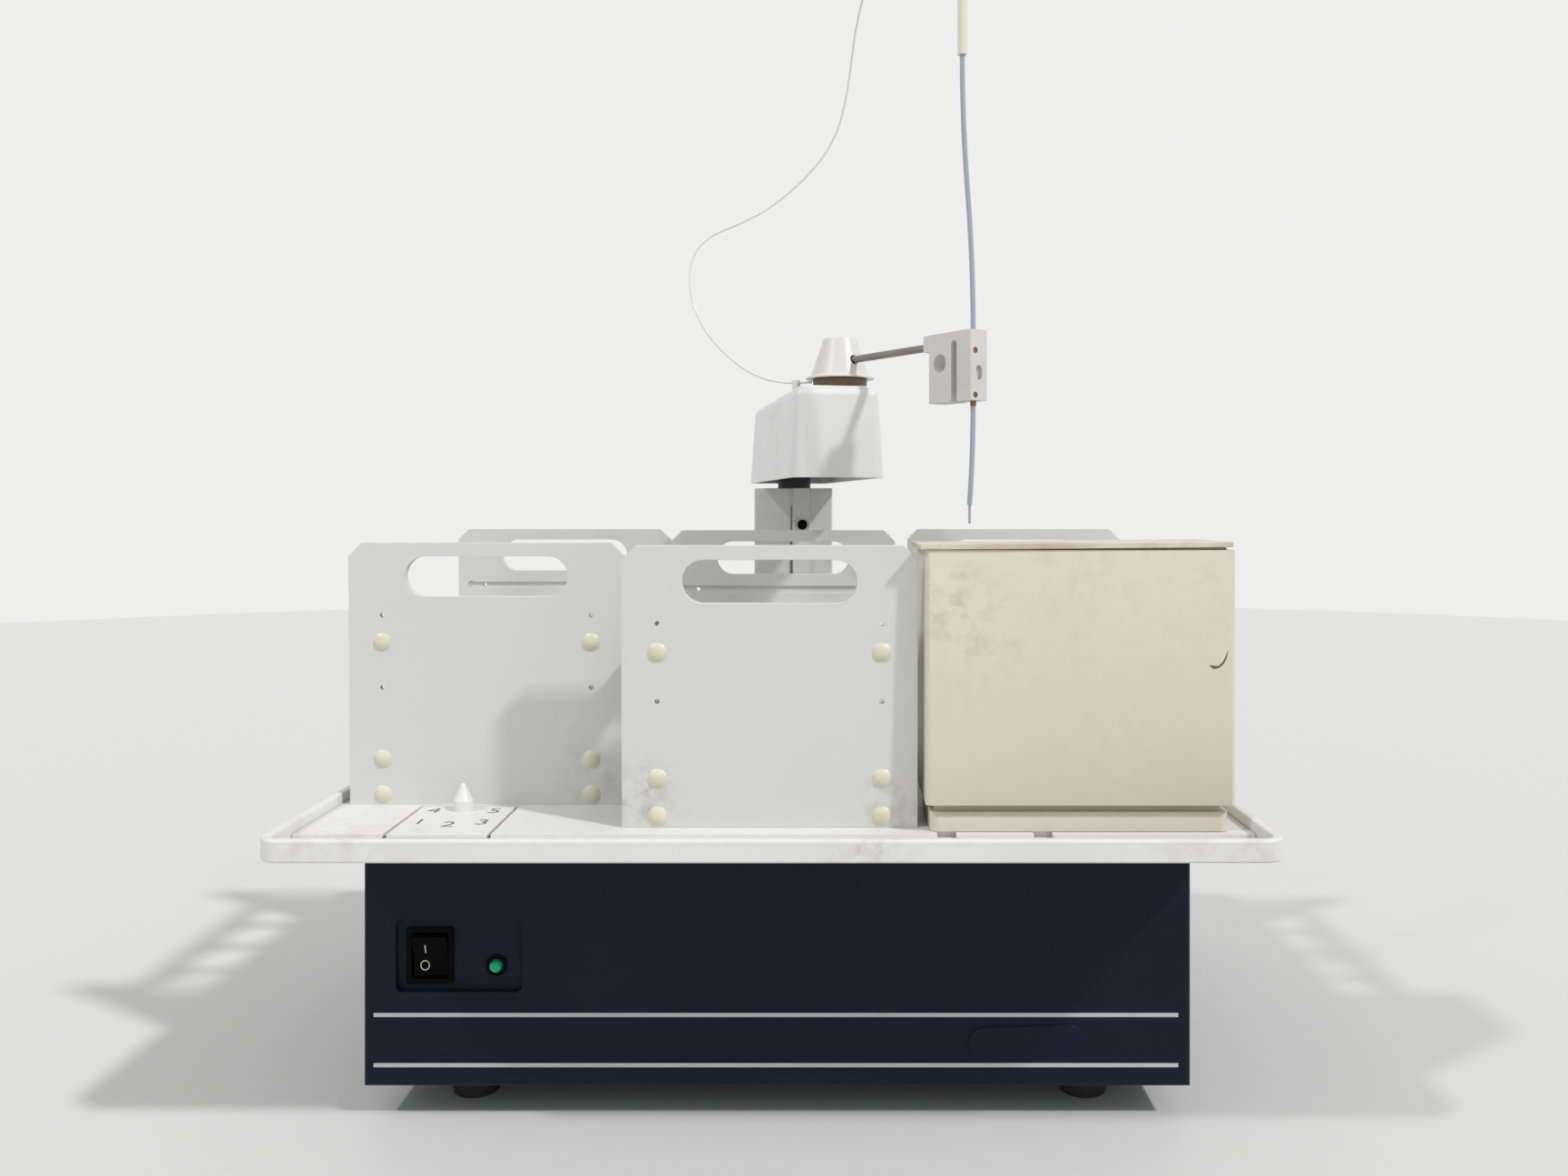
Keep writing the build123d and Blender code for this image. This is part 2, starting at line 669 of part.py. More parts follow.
def deck():
    """Raised deck with its notches, the number plate's seat and the rack rests."""
    half = TRAY_W / 2 - RIM_T - DECK_GAP
    rear = TRAY_D / 2 - RIM_T - DECK_GAP
    plate = block(-half, half, DECK_FRONT_Y, rear, TRAY_FLOOR_Z, DECK_TOP)
    rear_edges = plate.edges().filter_by(Axis.Z).group_by(Axis.Y)[-1]
    plate = fillet(rear_edges, TRAY_CORNER_R - RIM_T)
    for x in NOTCH_X:
        plate -= block(x - NOTCH_W / 2, x + NOTCH_W / 2, DECK_FRONT_Y - 1, DECK_FRONT_Y + NOTCH_D, BASE_TOP, RIM_TOP)
    seat = PLATE_W / 2 + PLATE_GROOVE
    seat_y = DECK_FRONT_Y + PLATE_D + PLATE_GROOVE
    plate -= block(PLATE_X - seat, PLATE_X + seat, DECK_FRONT_Y - 1, seat_y, DECK_TOP - PLATE_T, RIM_TOP)
    plate -= tower_slot(BASE_TOP, RIM_TOP)
    for x, back in RACK_PLACES.values():
        y1 = -TRAY_D / 2 + back + RACK_L
        plate += block(x - RACK_W / 2, x + RACK_W / 2, y1 - REST_PAD_D, y1, DECK_TOP, DECK_TOP + REST_PAD_H)
    return plate


def number_plate():
    """Inset plate that carries the rack position numbers."""
    half = PLATE_W / 2
    y1 = DECK_FRONT_Y + PLATE_D
    return block(PLATE_X - half, PLATE_X + half, DECK_FRONT_Y, y1, DECK_TOP - PLATE_T, DECK_TOP)


def locating_peg():
    """Pointed white peg that locates a rack."""
    top = PEG_BASE_H + PEG_CONE_H
    tip = PEG_TIP_R
    outline = [
        (0, 0),
        (PEG_R, 0),
        (PEG_R, PEG_BASE_H),
        (tip, top - tip * 0.9),
        (tip * 0.6, top - tip * 0.3),
        (0, top),
    ]
    profile = make_face(Plane.XZ * Polyline(*outline, close=True))
    y = -TRAY_D / 2 + PEG_BACK
    return Pos(PEG_X, y, DECK_TOP) * revolve(profile, Axis.Z)


# Racks


def rack_plate():
    """Rack end plate: outer face at y = 0, grooves on the inner face."""
    half, top = RACK_W / 2, RACK_H
    outline = Polyline(
        (-half, 0),
        (half, 0),
        (half, top - RACK_CHAMFER),
        (half - RACK_CHAMFER, top),
        (-half + RACK_CHAMFER, top),
        (-half, top - RACK_CHAMFER),
        close=True,
    )
    handle = Pos(0, top - HANDLE_DROP - HANDLE_H / 2) * SlotOverall(HANDLE_W, HANDLE_H)
    plate = wall_prism(make_face(outline) - handle, 0, 0, RACK_PLATE_T, 0)
    for drop in SPARE_DROPS:
        plate -= spare_groove(top - drop)
        for side in (-1, 1):
            plate -= bar_y(side * (half - CAP_INSET), -1, RACK_PLATE_T, top - drop, SPARE_HOLE_R)
    return plate


def spare_groove(z):
    """A spare shelf groove with relieved round ends."""
    reach = RACK_W / 2 - GROOVE_INSET
    face = Rectangle(2 * reach, GROOVE_H)
    for side in (-1, 1):
        face += Pos(side * reach, 0) * Circle(GROOVE_END_R)
    return wall_prism(face, 0, RACK_PLATE_T - GROOVE_D, RACK_PLATE_T + 1, z)


def rack_plates():
    """Front and rear end plates of one rack."""
    plate = rack_plate()
    return [plate, Pos(0, RACK_L, 0) * Rot(0, 0, 180) * plate]


def rack_shelves():
    """Two drilled shelves and the plain bottom shelf."""
    pieces = []
    half = RACK_W / 2 - SHELF_INSET
    for level, drop in enumerate(CAP_DROPS):
        z = RACK_H - drop
        shelf = block(-half, half, RACK_PLATE_T, RACK_L - RACK_PLATE_T, z - SHELF_T / 2, z + SHELF_T / 2)
        if level < len(CAP_DROPS) - 1:
            for i in range(BOTTLE_COLS):
                for j in range(BOTTLE_ROWS):
                    x = (i - (BOTTLE_COLS - 1) / 2) * BOTTLE_PITCH_X
                    y = RACK_L / 2 + (j - (BOTTLE_ROWS - 1) / 2) * BOTTLE_PITCH_Y
                    shelf -= post(x, y, z - SHELF_T, z + SHELF_T, BOTTLE_R)
        pieces.append(shelf)
    return pieces


def screw_cap():
    """A domed screw cap, its base on y = 0 and its dome towards -Y."""
    sphere_r = (CAP_R**2 + CAP_H**2) / (2 * CAP_H)
    ball = Pos(0, sphere_r - CAP_H, 0) * Sphere(sphere_r)
    return ball & block(-CAP_R * 2, CAP_R * 2, -CAP_H, 0, -CAP_R * 2, CAP_R * 2)


def rack_caps():
    """Screw caps over the shelf screws, front and rear."""
    cap = screw_cap()
    pieces = []
    for drop in CAP_DROPS:
        for side in (-1, 1):
            x, z = side * (RACK_W / 2 - CAP_INSET), RACK_H - drop
            pieces.append(Pos(x, 0, z) * cap)
            pieces.append(Pos(x, RACK_L, z) * Rot(0, 0, 180) * cap)
    return pieces


def rack_frame(place):
    """Where a rack stands: its front edge on the deck, its rear on the rest."""
    x, back = RACK_PLACES[place]
    return Pos(x, -TRAY_D / 2 + back, DECK_TOP) * Rot(RACK_LEAN, 0, 0)


# Rinse reservoir

TANK_X = TANK_LEFT + TANK_W / 2
TANK_FRONT_Y = -TRAY_D / 2 + TANK_FRONT
TANK_Y = TANK_FRONT_Y + TANK_D / 2


def reservoir_tank():
    """Open-topped tank on a recessed neck and a plinth."""
    body = rounded_block(TANK_W, TANK_D, TANK_BOTTOM, TANK_TOP, TANK_R)
    neck_w, neck_d = TANK_W - 2 * NECK_IN, TANK_D - 2 * NECK_IN - PLINTH_FRONT_IN
    body += Pos(0, PLINTH_FRONT_IN / 2, 0) * rounded_block(neck_w, neck_d, DECK_TOP, TANK_BOTTOM, TANK_R)
    plinth_w, plinth_d = TANK_W - 2 * PLINTH_IN, TANK_D - PLINTH_FRONT_IN
    plinth = Pos(0, PLINTH_FRONT_IN / 2, 0) * rounded_block(
        plinth_w, plinth_d, DECK_TOP + REST_GAP, DECK_TOP + PLINTH_H, PLINTH_R
    )
    body += plinth
    body -= Pos(0, 0, 0) * block(-neck_w, neck_w, -neck_d, neck_d, DECK_TOP - 1, DECK_TOP + REST_GAP)
    inner_w, inner_d = TANK_W - 2 * TANK_WALL, TANK_D - 2 * TANK_WALL
    body -= rounded_block(inner_w, inner_d, TANK_BOTTOM + TANK_WALL, TANK_TOP + 1, 1.5)
    return Pos(TANK_X, TANK_Y, 0) * body


def reservoir_lid():
    """Slightly warped board lid with a locating tongue under it."""
    x0, x1 = LID_LEFT, LID_LEFT + LID_W
    z0 = TANK_TOP + REST_GAP
    middle = (x0 + x1) / 2
    low = [(x0, z0), (middle, z0 + LID_RISE / 2 - LID_BOW / 2), (x1, z0 + LID_RISE)]
    high = [(x, z + LID_T) for x, z in low]
    face = make_face(
        ThreePointArc(*low)
        + Line(low[2], high[2])
        + ThreePointArc(high[2], high[1], high[0])
        + Line(high[0], low[0])
    )
    y0, y1 = TANK_FRONT_Y - LID_OVER, TANK_FRONT_Y + TANK_D + LID_OVER
    board = wall_prism(face, 0, y0, y1, 0)
    inset = TANK_WALL + LID_TONGUE_GAP
    tongue = block(
        TANK_LEFT + inset,
        TANK_LEFT + TANK_W - inset,
        TANK_FRONT_Y + inset,
        TANK_FRONT_Y + TANK_D - inset,
        TANK_TOP - LID_TONGUE_H,
        z0 + LID_T / 2,
    )
    return board + tongue


# Tower


def carriage():
    """Carriage plate on the guide rods, with the screw nut's arm in front."""
    half_w, half_d = CARRIAGE_W / 2, CARRIAGE_D / 2
    body = block(-half_w, half_w, -half_d, half_d, CARRIAGE_BASE, CARRIAGE_TOP)
    body = fillet(body.edges().filter_by(Axis.Z), 3.0)
    for side in (-1, 1):
        body -= bar_x(-half_w - 1, half_w + 1, side * RAIL_SPREAD, RAIL_Z, BUSH_R)
    body -= post(0, 0, CARRIAGE_BASE - 1, CARRIAGE_TOP + 1, Z_SCREW_R + 4.0)
    nut_y = X_SCREW_Y - MAST_Y
    x0, x1 = X_NUT_SHIFT - X_NUT_L / 2, X_NUT_SHIFT + X_NUT_L / 2
    low, high = X_SCREW_Z - X_NUT_R, X_SCREW_Z + X_NUT_R
    arm = block(x0, x1, nut_y - X_NUT_R, nut_y + X_NUT_R, low, high)
    arm += block(x0, x1, nut_y + X_NUT_R - 4, -half_d + 2, X_SCREW_Z, CARRIAGE_TOP)
    arm -= bar_x(x0 - 1, x1 + 1, nut_y, X_SCREW_Z, X_SCREW_R + FIT)
    return Pos(TOWER_X, MAST_Y, 0) * (body + arm)


def slide_bushes():
    """Four linear bushes on the rods and two square bushes round the mast."""
    pieces = []
    for side in (-1, 1):
        for end in (-1, 1):
            x0 = TOWER_X + end * CARRIAGE_W / 2
            x1 = TOWER_X + end * (CARRIAGE_W / 2 - BUSH_L)
            y = MAST_Y + side * RAIL_SPREAD
            bush = bar_x(min(x0, x1), max(x0, x1), y, RAIL_Z, BUSH_R)
            pieces.append(bush - bar_x(min(x0, x1) - 1, max(x0, x1) + 1, y, RAIL_Z, BUSH_BORE_R))
    inner = NECK - 2 * NECK_WALL
    upper_z = TOWER_CAP_Z - NECK_FLANGE_H - MAST_BUSH_H
    for z in (LOWER_BUSH_Z, upper_z):
        bush = Pos(0, 0, z + MAST_BUSH_H / 2) * Box(inner, inner, MAST_BUSH_H)
        bush -= post(0, 0, z - 1, z + MAST_BUSH_H + 1, MAST_R + FIT)
        pieces.append(Pos(TOWER_X, MAST_Y, 0) * bush)
    return pieces


def tower_frame():
    """Square tube that rises through the slot, with a flange under the cap."""
    outer = NECK / 2
    inner = outer - NECK_WALL
    tube = block(-outer, outer, -outer, outer, CARRIAGE_TOP, TOWER_CAP_Z)
    half_w, half_d = TOWER_W / 2 - TOWER_WALL, TOWER_D / 2 - TOWER_WALL
    tube += block(-half_w, half_w, -half_d, half_d, TOWER_CAP_Z - NECK_FLANGE_H, TOWER_CAP_Z)
    tube -= block(-inner, inner, -inner, inner, CARRIAGE_TOP - 1, TOWER_CAP_Z - NECK_FLANGE_H)
    tube -= post(0, 0, TOWER_CAP_Z - NECK_FLANGE_H - 1, TOWER_CAP_Z + 1, MAST_R + 0.6)
    return Pos(TOWER_X, MAST_Y, 0) * tube


def tower_cover():
    """Light grey column cover with the slit down its front."""
    z0 = DECK_TOP + TOWER_GAP
    cover = rounded_block(TOWER_W, TOWER_D, z0, TOWER_CAP_Z, 1.5)
    cover -= block(
        -TOWER_W / 2 + TOWER_WALL,
        TOWER_W / 2 - TOWER_WALL,
        -TOWER_D / 2 + TOWER_WALL,
        TOWER_D / 2 - TOWER_WALL,
        z0 - 1,
        TOWER_CAP_Z + 1,
    )
    half = TOWER_SLIT / 2
    cover -= block(TOWER_SLIT_X - half, TOWER_SLIT_X + half, -TOWER_D, -TOWER_D / 2 + TOWER_WALL + 1, z0 + 20, TOWER_TOP)
    return Pos(TOWER_X, MAST_Y, 0) * cover


def tower_cap():
    """Cap on the column, open for the mast."""
    cap = rounded_block(TOWER_W, TOWER_D, TOWER_CAP_Z, TOWER_TOP, 1.5)
    cap = chamfer(cap.edges().group_by(Axis.Z)[-1], 0.6)
    cap -= post(0, 0, TOWER_CAP_Z - 1, TOWER_TOP + 1, MAST_R + 0.6)
    return Pos(TOWER_X, MAST_Y, 0) * cap


def stop_bar():
    """Flat bar on the column's front."""
    y1 = TOWER_FRONT_Y
    x0 = TOWER_X + BAR_X - BAR_W / 2
    bar = block(x0, x0 + BAR_W, y1 - BAR_T, y1, TOWER_TOP - BAR_H, TOWER_TOP)
    return chamfer(bar.edges().filter_by(Axis.Z).group_by(Axis.Y)[0], 0.5)


def knob_screw():
    """Black knurled screw that holds the bar."""
    x = TOWER_X + BAR_X + 0.8
    y1 = TOWER_FRONT_Y - BAR_T
    knob = bar_y(x, y1 - KNOB_OUT, y1, KNOB_Z, KNOB_R)
    return chamfer(knob.edges().group_by(Axis.Y)[0], 0.6)


def z_motor():
    """Motor of the vertical screw, under the carriage."""
    body = Pos(TOWER_X, MAST_Y, CARRIAGE_BASE) * motor_body(MOTOR_L)
    return body - post(TOWER_X, MAST_Y, CARRIAGE_BASE - Z_SOCKET, CARRIAGE_BASE + 1, Z_SCREW_R + FIT)


def z_screw():
    """Vertical drive screw inside the mast, as a plain rod of its outer diameter."""
    return post(TOWER_X, MAST_Y, CARRIAGE_BASE - Z_SOCKET + 1, Z_SCREW_TOP, Z_SCREW_R)


# Mast


def mast_tube():
    """Dark mast tube."""
    tube = post(TOWER_X, MAST_Y, MAST_BOTTOM, MAST_TOP, MAST_R)
    return tube - post(TOWER_X, MAST_Y, MAST_BOTTOM - 1, MAST_TOP + 1, MAST_BORE_R)


def mast_nut():
    """Screw nut pressed into the mast's foot."""
    nut = post(TOWER_X, MAST_Y, MAST_BOTTOM, MAST_BOTTOM + NUT_H, MAST_BORE_R)
    return nut - post(TOWER_X, MAST_Y, MAST_BOTTOM - 1, MAST_BOTTOM + NUT_H + 1, Z_SCREW_R + FIT)


def mast_spindle():
    """Plug, thrust flange and spindle that carry the head."""
    spindle = post(TOWER_X, MAST_Y, MAST_TOP - SPINDLE_PLUG, MAST_TOP, MAST_BORE_R)
    spindle += post(TOWER_X, MAST_Y, MAST_TOP, MAST_TOP + WASHER_T, MAST_R)
    return spindle + post(TOWER_X, MAST_Y, MAST_TOP, SPINDLE_TOP, SPINDLE_R)


# Head, drawn with the mast axis at the origin and its front towards -Y


def head_form(inset):
    """The head's tapered outer form, or one inset from it by a wall."""
    length = HEAD_FRONT + HEAD_REAR - 2 * inset
    width = 2 * (HEAD_HALF_W - inset)
    plan = RectangleRounded(width, length, HEAD_CORNER_R - min(inset, HEAD_CORNER_R - 1))
    bottom = HEAD_BOTTOM - (1 if inset else 0)
    height = HEAD_TOP - inset - HEAD_BOTTOM
    form = Pos(0, (HEAD_REAR - HEAD_FRONT) / 2, HEAD_BOTTOM) * extrude(plan, height, taper=HEAD_TAPER)
    form = fillet(form.edges().group_by(Axis.Z)[-1], HEAD_EDGE_R - min(inset, HEAD_EDGE_R - 2))
    if inset > 1:
        form += Pos(0, (HEAD_REAR - HEAD_FRONT) / 2, bottom) * extrude(plan, 1)
    return form


def head_shell():
    """The whole cover before it is split at its seam."""
    shell = head_form(0) - head_form(HEAD_WALL)
    skin = head_form(0) - head_form(GROOVE_W)
    half = GROOVE_W / 2
    slab = block(-99, 99, -GROOVE_REACH - half, -GROOVE_REACH + half, HEAD_BOTTOM - 1, HEAD_TOP + 1)
    shell -= skin & slab
    return shell - post(HUB_SIDE, -HUB_REACH, HEAD_TOP - 9, HEAD_TOP + 1, COLLAR_BORE_R)


def seam_prism(offset, far):
    """Everything in front of the slanted seam (far < 0) or behind it (far > 0)."""
    slope = (SEAM_TOP - SEAM_BOTTOM) / HEAD_H
    reach = 5.0
    low = -SEAM_BOTTOM + slope * reach + offset
    high = -SEAM_TOP - slope * reach + offset
    face = make_face(
        Polyline((low, HEAD_BOTTOM - reach), (high, HEAD_TOP + reach), (far, HEAD_TOP + reach), (far, HEAD_BOTTOM - reach), close=True)
    )
    return extrude(Plane((-99, 0, 0), x_dir=(0, 1, 0), z_dir=(1, 0, 0)) * face, 198)


def head_front_cover():
    """Front part of the head's cover."""
    return HEAD_FRAME * (head_shell() & seam_prism(-SEAM_GAP / 2, -300))


def head_rear_cover():
    """Rear part of the head's cover."""
    return HEAD_FRAME * (head_shell() & seam_prism(SEAM_GAP / 2, 100))


def head_half_inside(z):
    """Half the clear width inside the cover at a height."""
    lean = math.tan(math.radians(HEAD_TAPER))
    return HEAD_HALF_W - HEAD_WALL - (z - HEAD_BOTTOM) * lean


def head_frame():
    """Chassis plate with the mast hub, the arm's boss and the two gear pins."""
    half = head_half_inside(FRAME_Z + FRAME_T) - FRAME_INSET
    top = FRAME_Z + FRAME_T
    plate = block(-half, half, -FRAME_FRONT, FRAME_REAR, FRAME_Z, top)
    plate = fillet(plate.edges().filter_by(Axis.Z), 5.0)
    plate += post(0, 0, HEAD_HUB_Z, HUB_TOP, HEAD_HUB_R)
    plate -= post(0, 0, HEAD_HUB_Z - 1, HUB_TOP + 1, SPINDLE_R + 3.0)
    for z in (HEAD_HUB_Z, HUB_TOP - BEARING_H):
        plate -= post(0, 0, z - 0.01, z + BEARING_H + 0.01, BEARING_R)
    plate += post(HUB_SIDE, -HUB_REACH, top, HUB_BOSS_TOP, HUB_BOSS_R)
    plate -= post(HUB_SIDE, -HUB_REACH, FRAME_Z - 1, HUB_BOSS_TOP + 1, HUB_SPINDLE_R + FIT)
    plate -= post(-GEAR_STEP, -GEAR_ROW, FRAME_Z - 1, top + 1, GEAR_PIN_R + 0.5)
    for x in (0.0, GEAR_STEP):
        pin_foot = GEAR_Z - REST_GAP
        plate += post(x, -GEAR_ROW, pin_foot, FRAME_Z + 1, GEAR_PIN_R)
        plate += post(x, -GEAR_ROW, pin_foot - GEAR_HEAD_T, pin_foot, GEAR_HEAD_R)
    return HEAD_FRAME * plate


def head_bearings():
    """Two ball bearings on the mast spindle, as plain rings."""
    pieces = []
    for z in (HEAD_HUB_Z, HUB_TOP - BEARING_H):
        ring = post(0, 0, z, z + BEARING_H, BEARING_R) - post(0, 0, z - 1, z + BEARING_H + 1, SPINDLE_R + FIT)
        pieces.append(HEAD_FRAME * ring)
    return pieces


def swing_motor():
    """Motor on top of the mast hub that swings the head."""
    top = HEAD_TOP - HEAD_WALL - 2.0
    body = post(0, 0, HUB_TOP, top, SWING_MOTOR_R)
    body -= post(0, 0, HUB_TOP - 1, SPINDLE_TOP + 1, SPINDLE_R + FIT)
    return HEAD_FRAME * body


def arm_motor():
    """Small round motor above the first gear."""
    z0 = FRAME_Z + FRAME_T
    body = post(-GEAR_STEP, -GEAR_ROW, z0, z0 + ARM_MOTOR_H, ARM_MOTOR_R)
    body -= post(-GEAR_STEP, -GEAR_ROW, z0 - 1, z0 + MOTOR_SOCKET, GEAR_PIN_R + FIT)
    return HEAD_FRAME * body


def hub_collar():
    """Brown bearing collar under the arm's hub."""
    collar = post(HUB_SIDE, -HUB_REACH, HEAD_TOP, HEAD_TOP + COLLAR_H, COLLAR_R)
    return HEAD_FRAME * (collar - post(HUB_SIDE, -HUB_REACH, HEAD_TOP - 1, HEAD_TOP + COLLAR_H + 1, COLLAR_BORE_R))


def capillary_clip():
    """Small dark clip on the head that holds the capillary between two cheeks."""
    route = Vector(*CAPILLARY_ROUTE[2]) - Vector(*CAPILLARY_ROUTE[1])
    turn = math.degrees(math.atan2(route.Y, route.X))
    z0 = HEAD_TOP
    clip = block(-CLIP_L / 2, CLIP_L / 2, -CLIP_W / 2, CLIP_W / 2, z0, z0 + CLIP_H)
    clip = fillet(clip.edges().filter_by(Axis.Z), 0.8)
    clip -= block(-CLIP_L, CLIP_L, -CLIP_SLOT / 2, CLIP_SLOT / 2, z0 + CLIP_H / 2, z0 + CLIP_H + 1)
    return Pos(CLIP_X, CLIP_Y, 0) * Rot(0, 0, turn) * clip


# Gears


def flank_point(base_r, r, half_angle, side):
    """A point of an involute flank at radius r, on one side of a tooth."""
    roll = math.sqrt(max((r / base_r) ** 2 - 1, 0))
    swept = roll - math.atan(roll)
    angle = side * (half_angle - swept)
    return (r * math.cos(angle), r * math.sin(angle))


def gear_face(phase):
    """A spur gear's outline with one tooth centred on the phase angle."""
    pitch_r = TEETH * MODULE / 2
    base_r = pitch_r * math.cos(math.radians(20))
    tip_r = pitch_r + MODULE
    root_r = pitch_r - 1.25 * MODULE
    roll = math.tan(math.radians(20))
    half_pitch = (math.pi * MODULE / 2 - GEAR_THIN) / (2 * pitch_r)
    half_base = half_pitch + roll - math.radians(20)
    radii = (base_r, pitch_r, tip_r)
    tooth = [(root_r * math.cos(-half_base), root_r * math.sin(-half_base))]
    tooth += [flank_point(base_r, r, half_base, -1) for r in radii]
    tooth += [flank_point(base_r, r, half_base, 1) for r in reversed(radii)]
    tooth += [(root_r * math.cos(half_base), root_r * math.sin(half_base))]
    points = []
    for k in range(TEETH):
        turn = math.radians(phase) + 2 * math.pi * k / TEETH
        c, s = math.cos(turn), math.sin(turn)
        points += [(x * c - y * s, x * s + y * c) for x, y in tooth]
    return make_face(Polyline(*points, close=True))


def spur_gear(z, phase, bore_r):
    """A spur gear standing on z, with its bore."""
    face = gear_face(phase) - Circle(bore_r) if bore_r else gear_face(phase)
    return Pos(0, 0, z) * extrude(face, GEAR_T)


def drive_gear():
    """First gear of the train, on the arm motor's shaft."""
    gear = spur_gear(GEAR_Z, 0, 0)
    gear += post(0, 0, GEAR_Z, FRAME_Z + FRAME_T + MOTOR_SOCKET - 1, GEAR_PIN_R)
    return HEAD_FRAME * Pos(-GEAR_STEP, -GEAR_ROW, 0) * gear


def idler_gear():
    """Middle gear of the train."""
    return HEAD_FRAME * Pos(0, -GEAR_ROW, 0) * spur_gear(GEAR_Z, 0, GEAR_PIN_R + FIT)


def compound_gear():
    """Third gear, with a second gear above it that meshes with the arm's gear."""
    bore = GEAR_PIN_R + FIT
    gear = spur_gear(GEAR_Z, 0, bore) + spur_gear(UPPER_GEAR_Z, MESH_ANGLE, bore)
    neck = post(0, 0, GEAR_Z + GEAR_T, UPPER_GEAR_Z, 5.0) - post(0, 0, GEAR_Z, UPPER_GEAR_Z + 1, bore)
    return HEAD_FRAME * Pos(GEAR_STEP, -GEAR_ROW, 0) * (gear + neck)


# Arm, drawn with the hub's axis at the origin and the rod towards -Y


def hub_spindle():
    """Arm spindle with its gear at the foot."""
    spindle = post(0, 0, UPPER_GEAR_Z, CONE_Z + CONE_HOLLOW_H + SPINDLE_SEAT, HUB_SPINDLE_R)
    gear = spur_gear(UPPER_GEAR_Z, MESH_ANGLE, 0)
    return HEAD_FRAME * Pos(HUB_SIDE, -HUB_REACH, 0) * (spindle + gear)


def cone_hub():
    """Tapered hub with a flared thin brim and a hollow underside."""
    z0, z1 = CONE_Z, CONE_Z + CONE_H
    flare_z = z0 + CONE_FLARE_H
    hollow_z = z0 + CONE_HOLLOW_H
    brim_z = z0 + CONE_BRIM_T
    flare = ThreePointArc(
        (CONE_BASE_R, brim_z), ((CONE_BASE_R + CONE_FLARE_R) / 2 - 0.5, brim_z + 0.7), (CONE_FLARE_R, flare_z)
    )
    rest = Polyline(
        (CONE_FLARE_R, flare_z),
        (CONE_TOP_R, z1),
        (0, z1),
        (0, hollow_z),
        (CONE_HOLLOW_R - 2.0, hollow_z),
        (CONE_HOLLOW_R, z0),
        (CONE_BASE_R, z0),
        (CONE_BASE_R, brim_z),
    )
    cone = revolve(make_face(Plane.XZ * (flare + rest)), Axis.Z)
    cone = fillet(cone.edges().group_by(Axis.Z)[-1], CONE_EDGE_R)
    cone -= post(0, 0, z0, hollow_z + SPINDLE_SEAT, HUB_SPINDLE_R)
    cone -= bar_y(0, -CONE_BASE_R, ROD_TAIL, ROD_Z, ROD_R)
    cone -= bar_y(0, -CONE_BASE_R, -ROD_MOUTH_IN, ROD_Z, ROD_MOUTH_R)
    return ARM_FRAME * cone


def arm_rod():
    """Steel rod from the hub to the probe holder."""
    rod_end = HOLDER_END - HOLDER_L + ROD_GRIP
    return ARM_FRAME * bar_y(0, -rod_end, ROD_TAIL, ROD_Z, ROD_R)


def probe_holder():
    """Holder block: tab round the rod, big hole, clamping slot and probe bore."""
    half = HOLDER_T / 2
    z0 = HOLDER_TOP - HOLDER_H
    y0, y1 = -HOLDER_END, -HOLDER_END + HOLDER_L
    holder = block(-half, half, y0, y1 - TAB_L, z0, HOLDER_TOP)
    holder += block(-half, half, y0, y1, HOLDER_TOP - TAB_H, HOLDER_TOP)
    holder = chamfer(holder.edges().filter_by(Axis.Z), 0.4)
    holder -= bar_x(-half - 1, half + 1, y0 + BIG_HOLE_BACK, BIG_HOLE_Z, BIG_HOLE_R)
    slot_y, slot_r = y0 + CLAMP_SLOT_BACK, CLAMP_SLOT_W / 2
    holder -= block(-half - 1, half + 1, slot_y - slot_r, slot_y + slot_r, z0 - 1, CLAMP_SLOT_TOP - slot_r)
    holder -= bar_x(-half - 1, half + 1, slot_y, CLAMP_SLOT_TOP - slot_r, slot_r)
    oval = Rot(0, 0, 90) * SlotOverall(OVAL_H, OVAL_W)
    holder -= wall_prism(oval, 0, y0 - 1, y0 + OVAL_DEPTH, OVAL_Z)
    for z in CLAMP_SCREW_Z:
        holder -= bar_y(CLAMP_SCREW_SIDE, y0 - 1, y0 + CLAMP_SCREW_L, z, CLAMP_SCREW_R)
    holder -= bar_y(0, -HOLDER_END + HOLDER_L - ROD_GRIP, y1 + 1, ROD_Z, ROD_R)
    holder -= post(0, y0 + PROBE_BACK, z0 - 1, HOLDER_TOP + 1, PROBE_R)
    return ARM_FRAME * holder


def clamp_screws():
    """Two brass grub screws in the holder's end."""
    y0 = -HOLDER_END
    return [
        ARM_FRAME * bar_y(CLAMP_SCREW_SIDE, y0 + 0.3, y0 + CLAMP_SCREW_L, z, CLAMP_SCREW_R) for z in CLAMP_SCREW_Z
    ]


def probe_place():
    """Plan position of the probe's straight stretch."""
    return ARM_FRAME * Pos(0, -HOLDER_END + PROBE_BACK, 0)


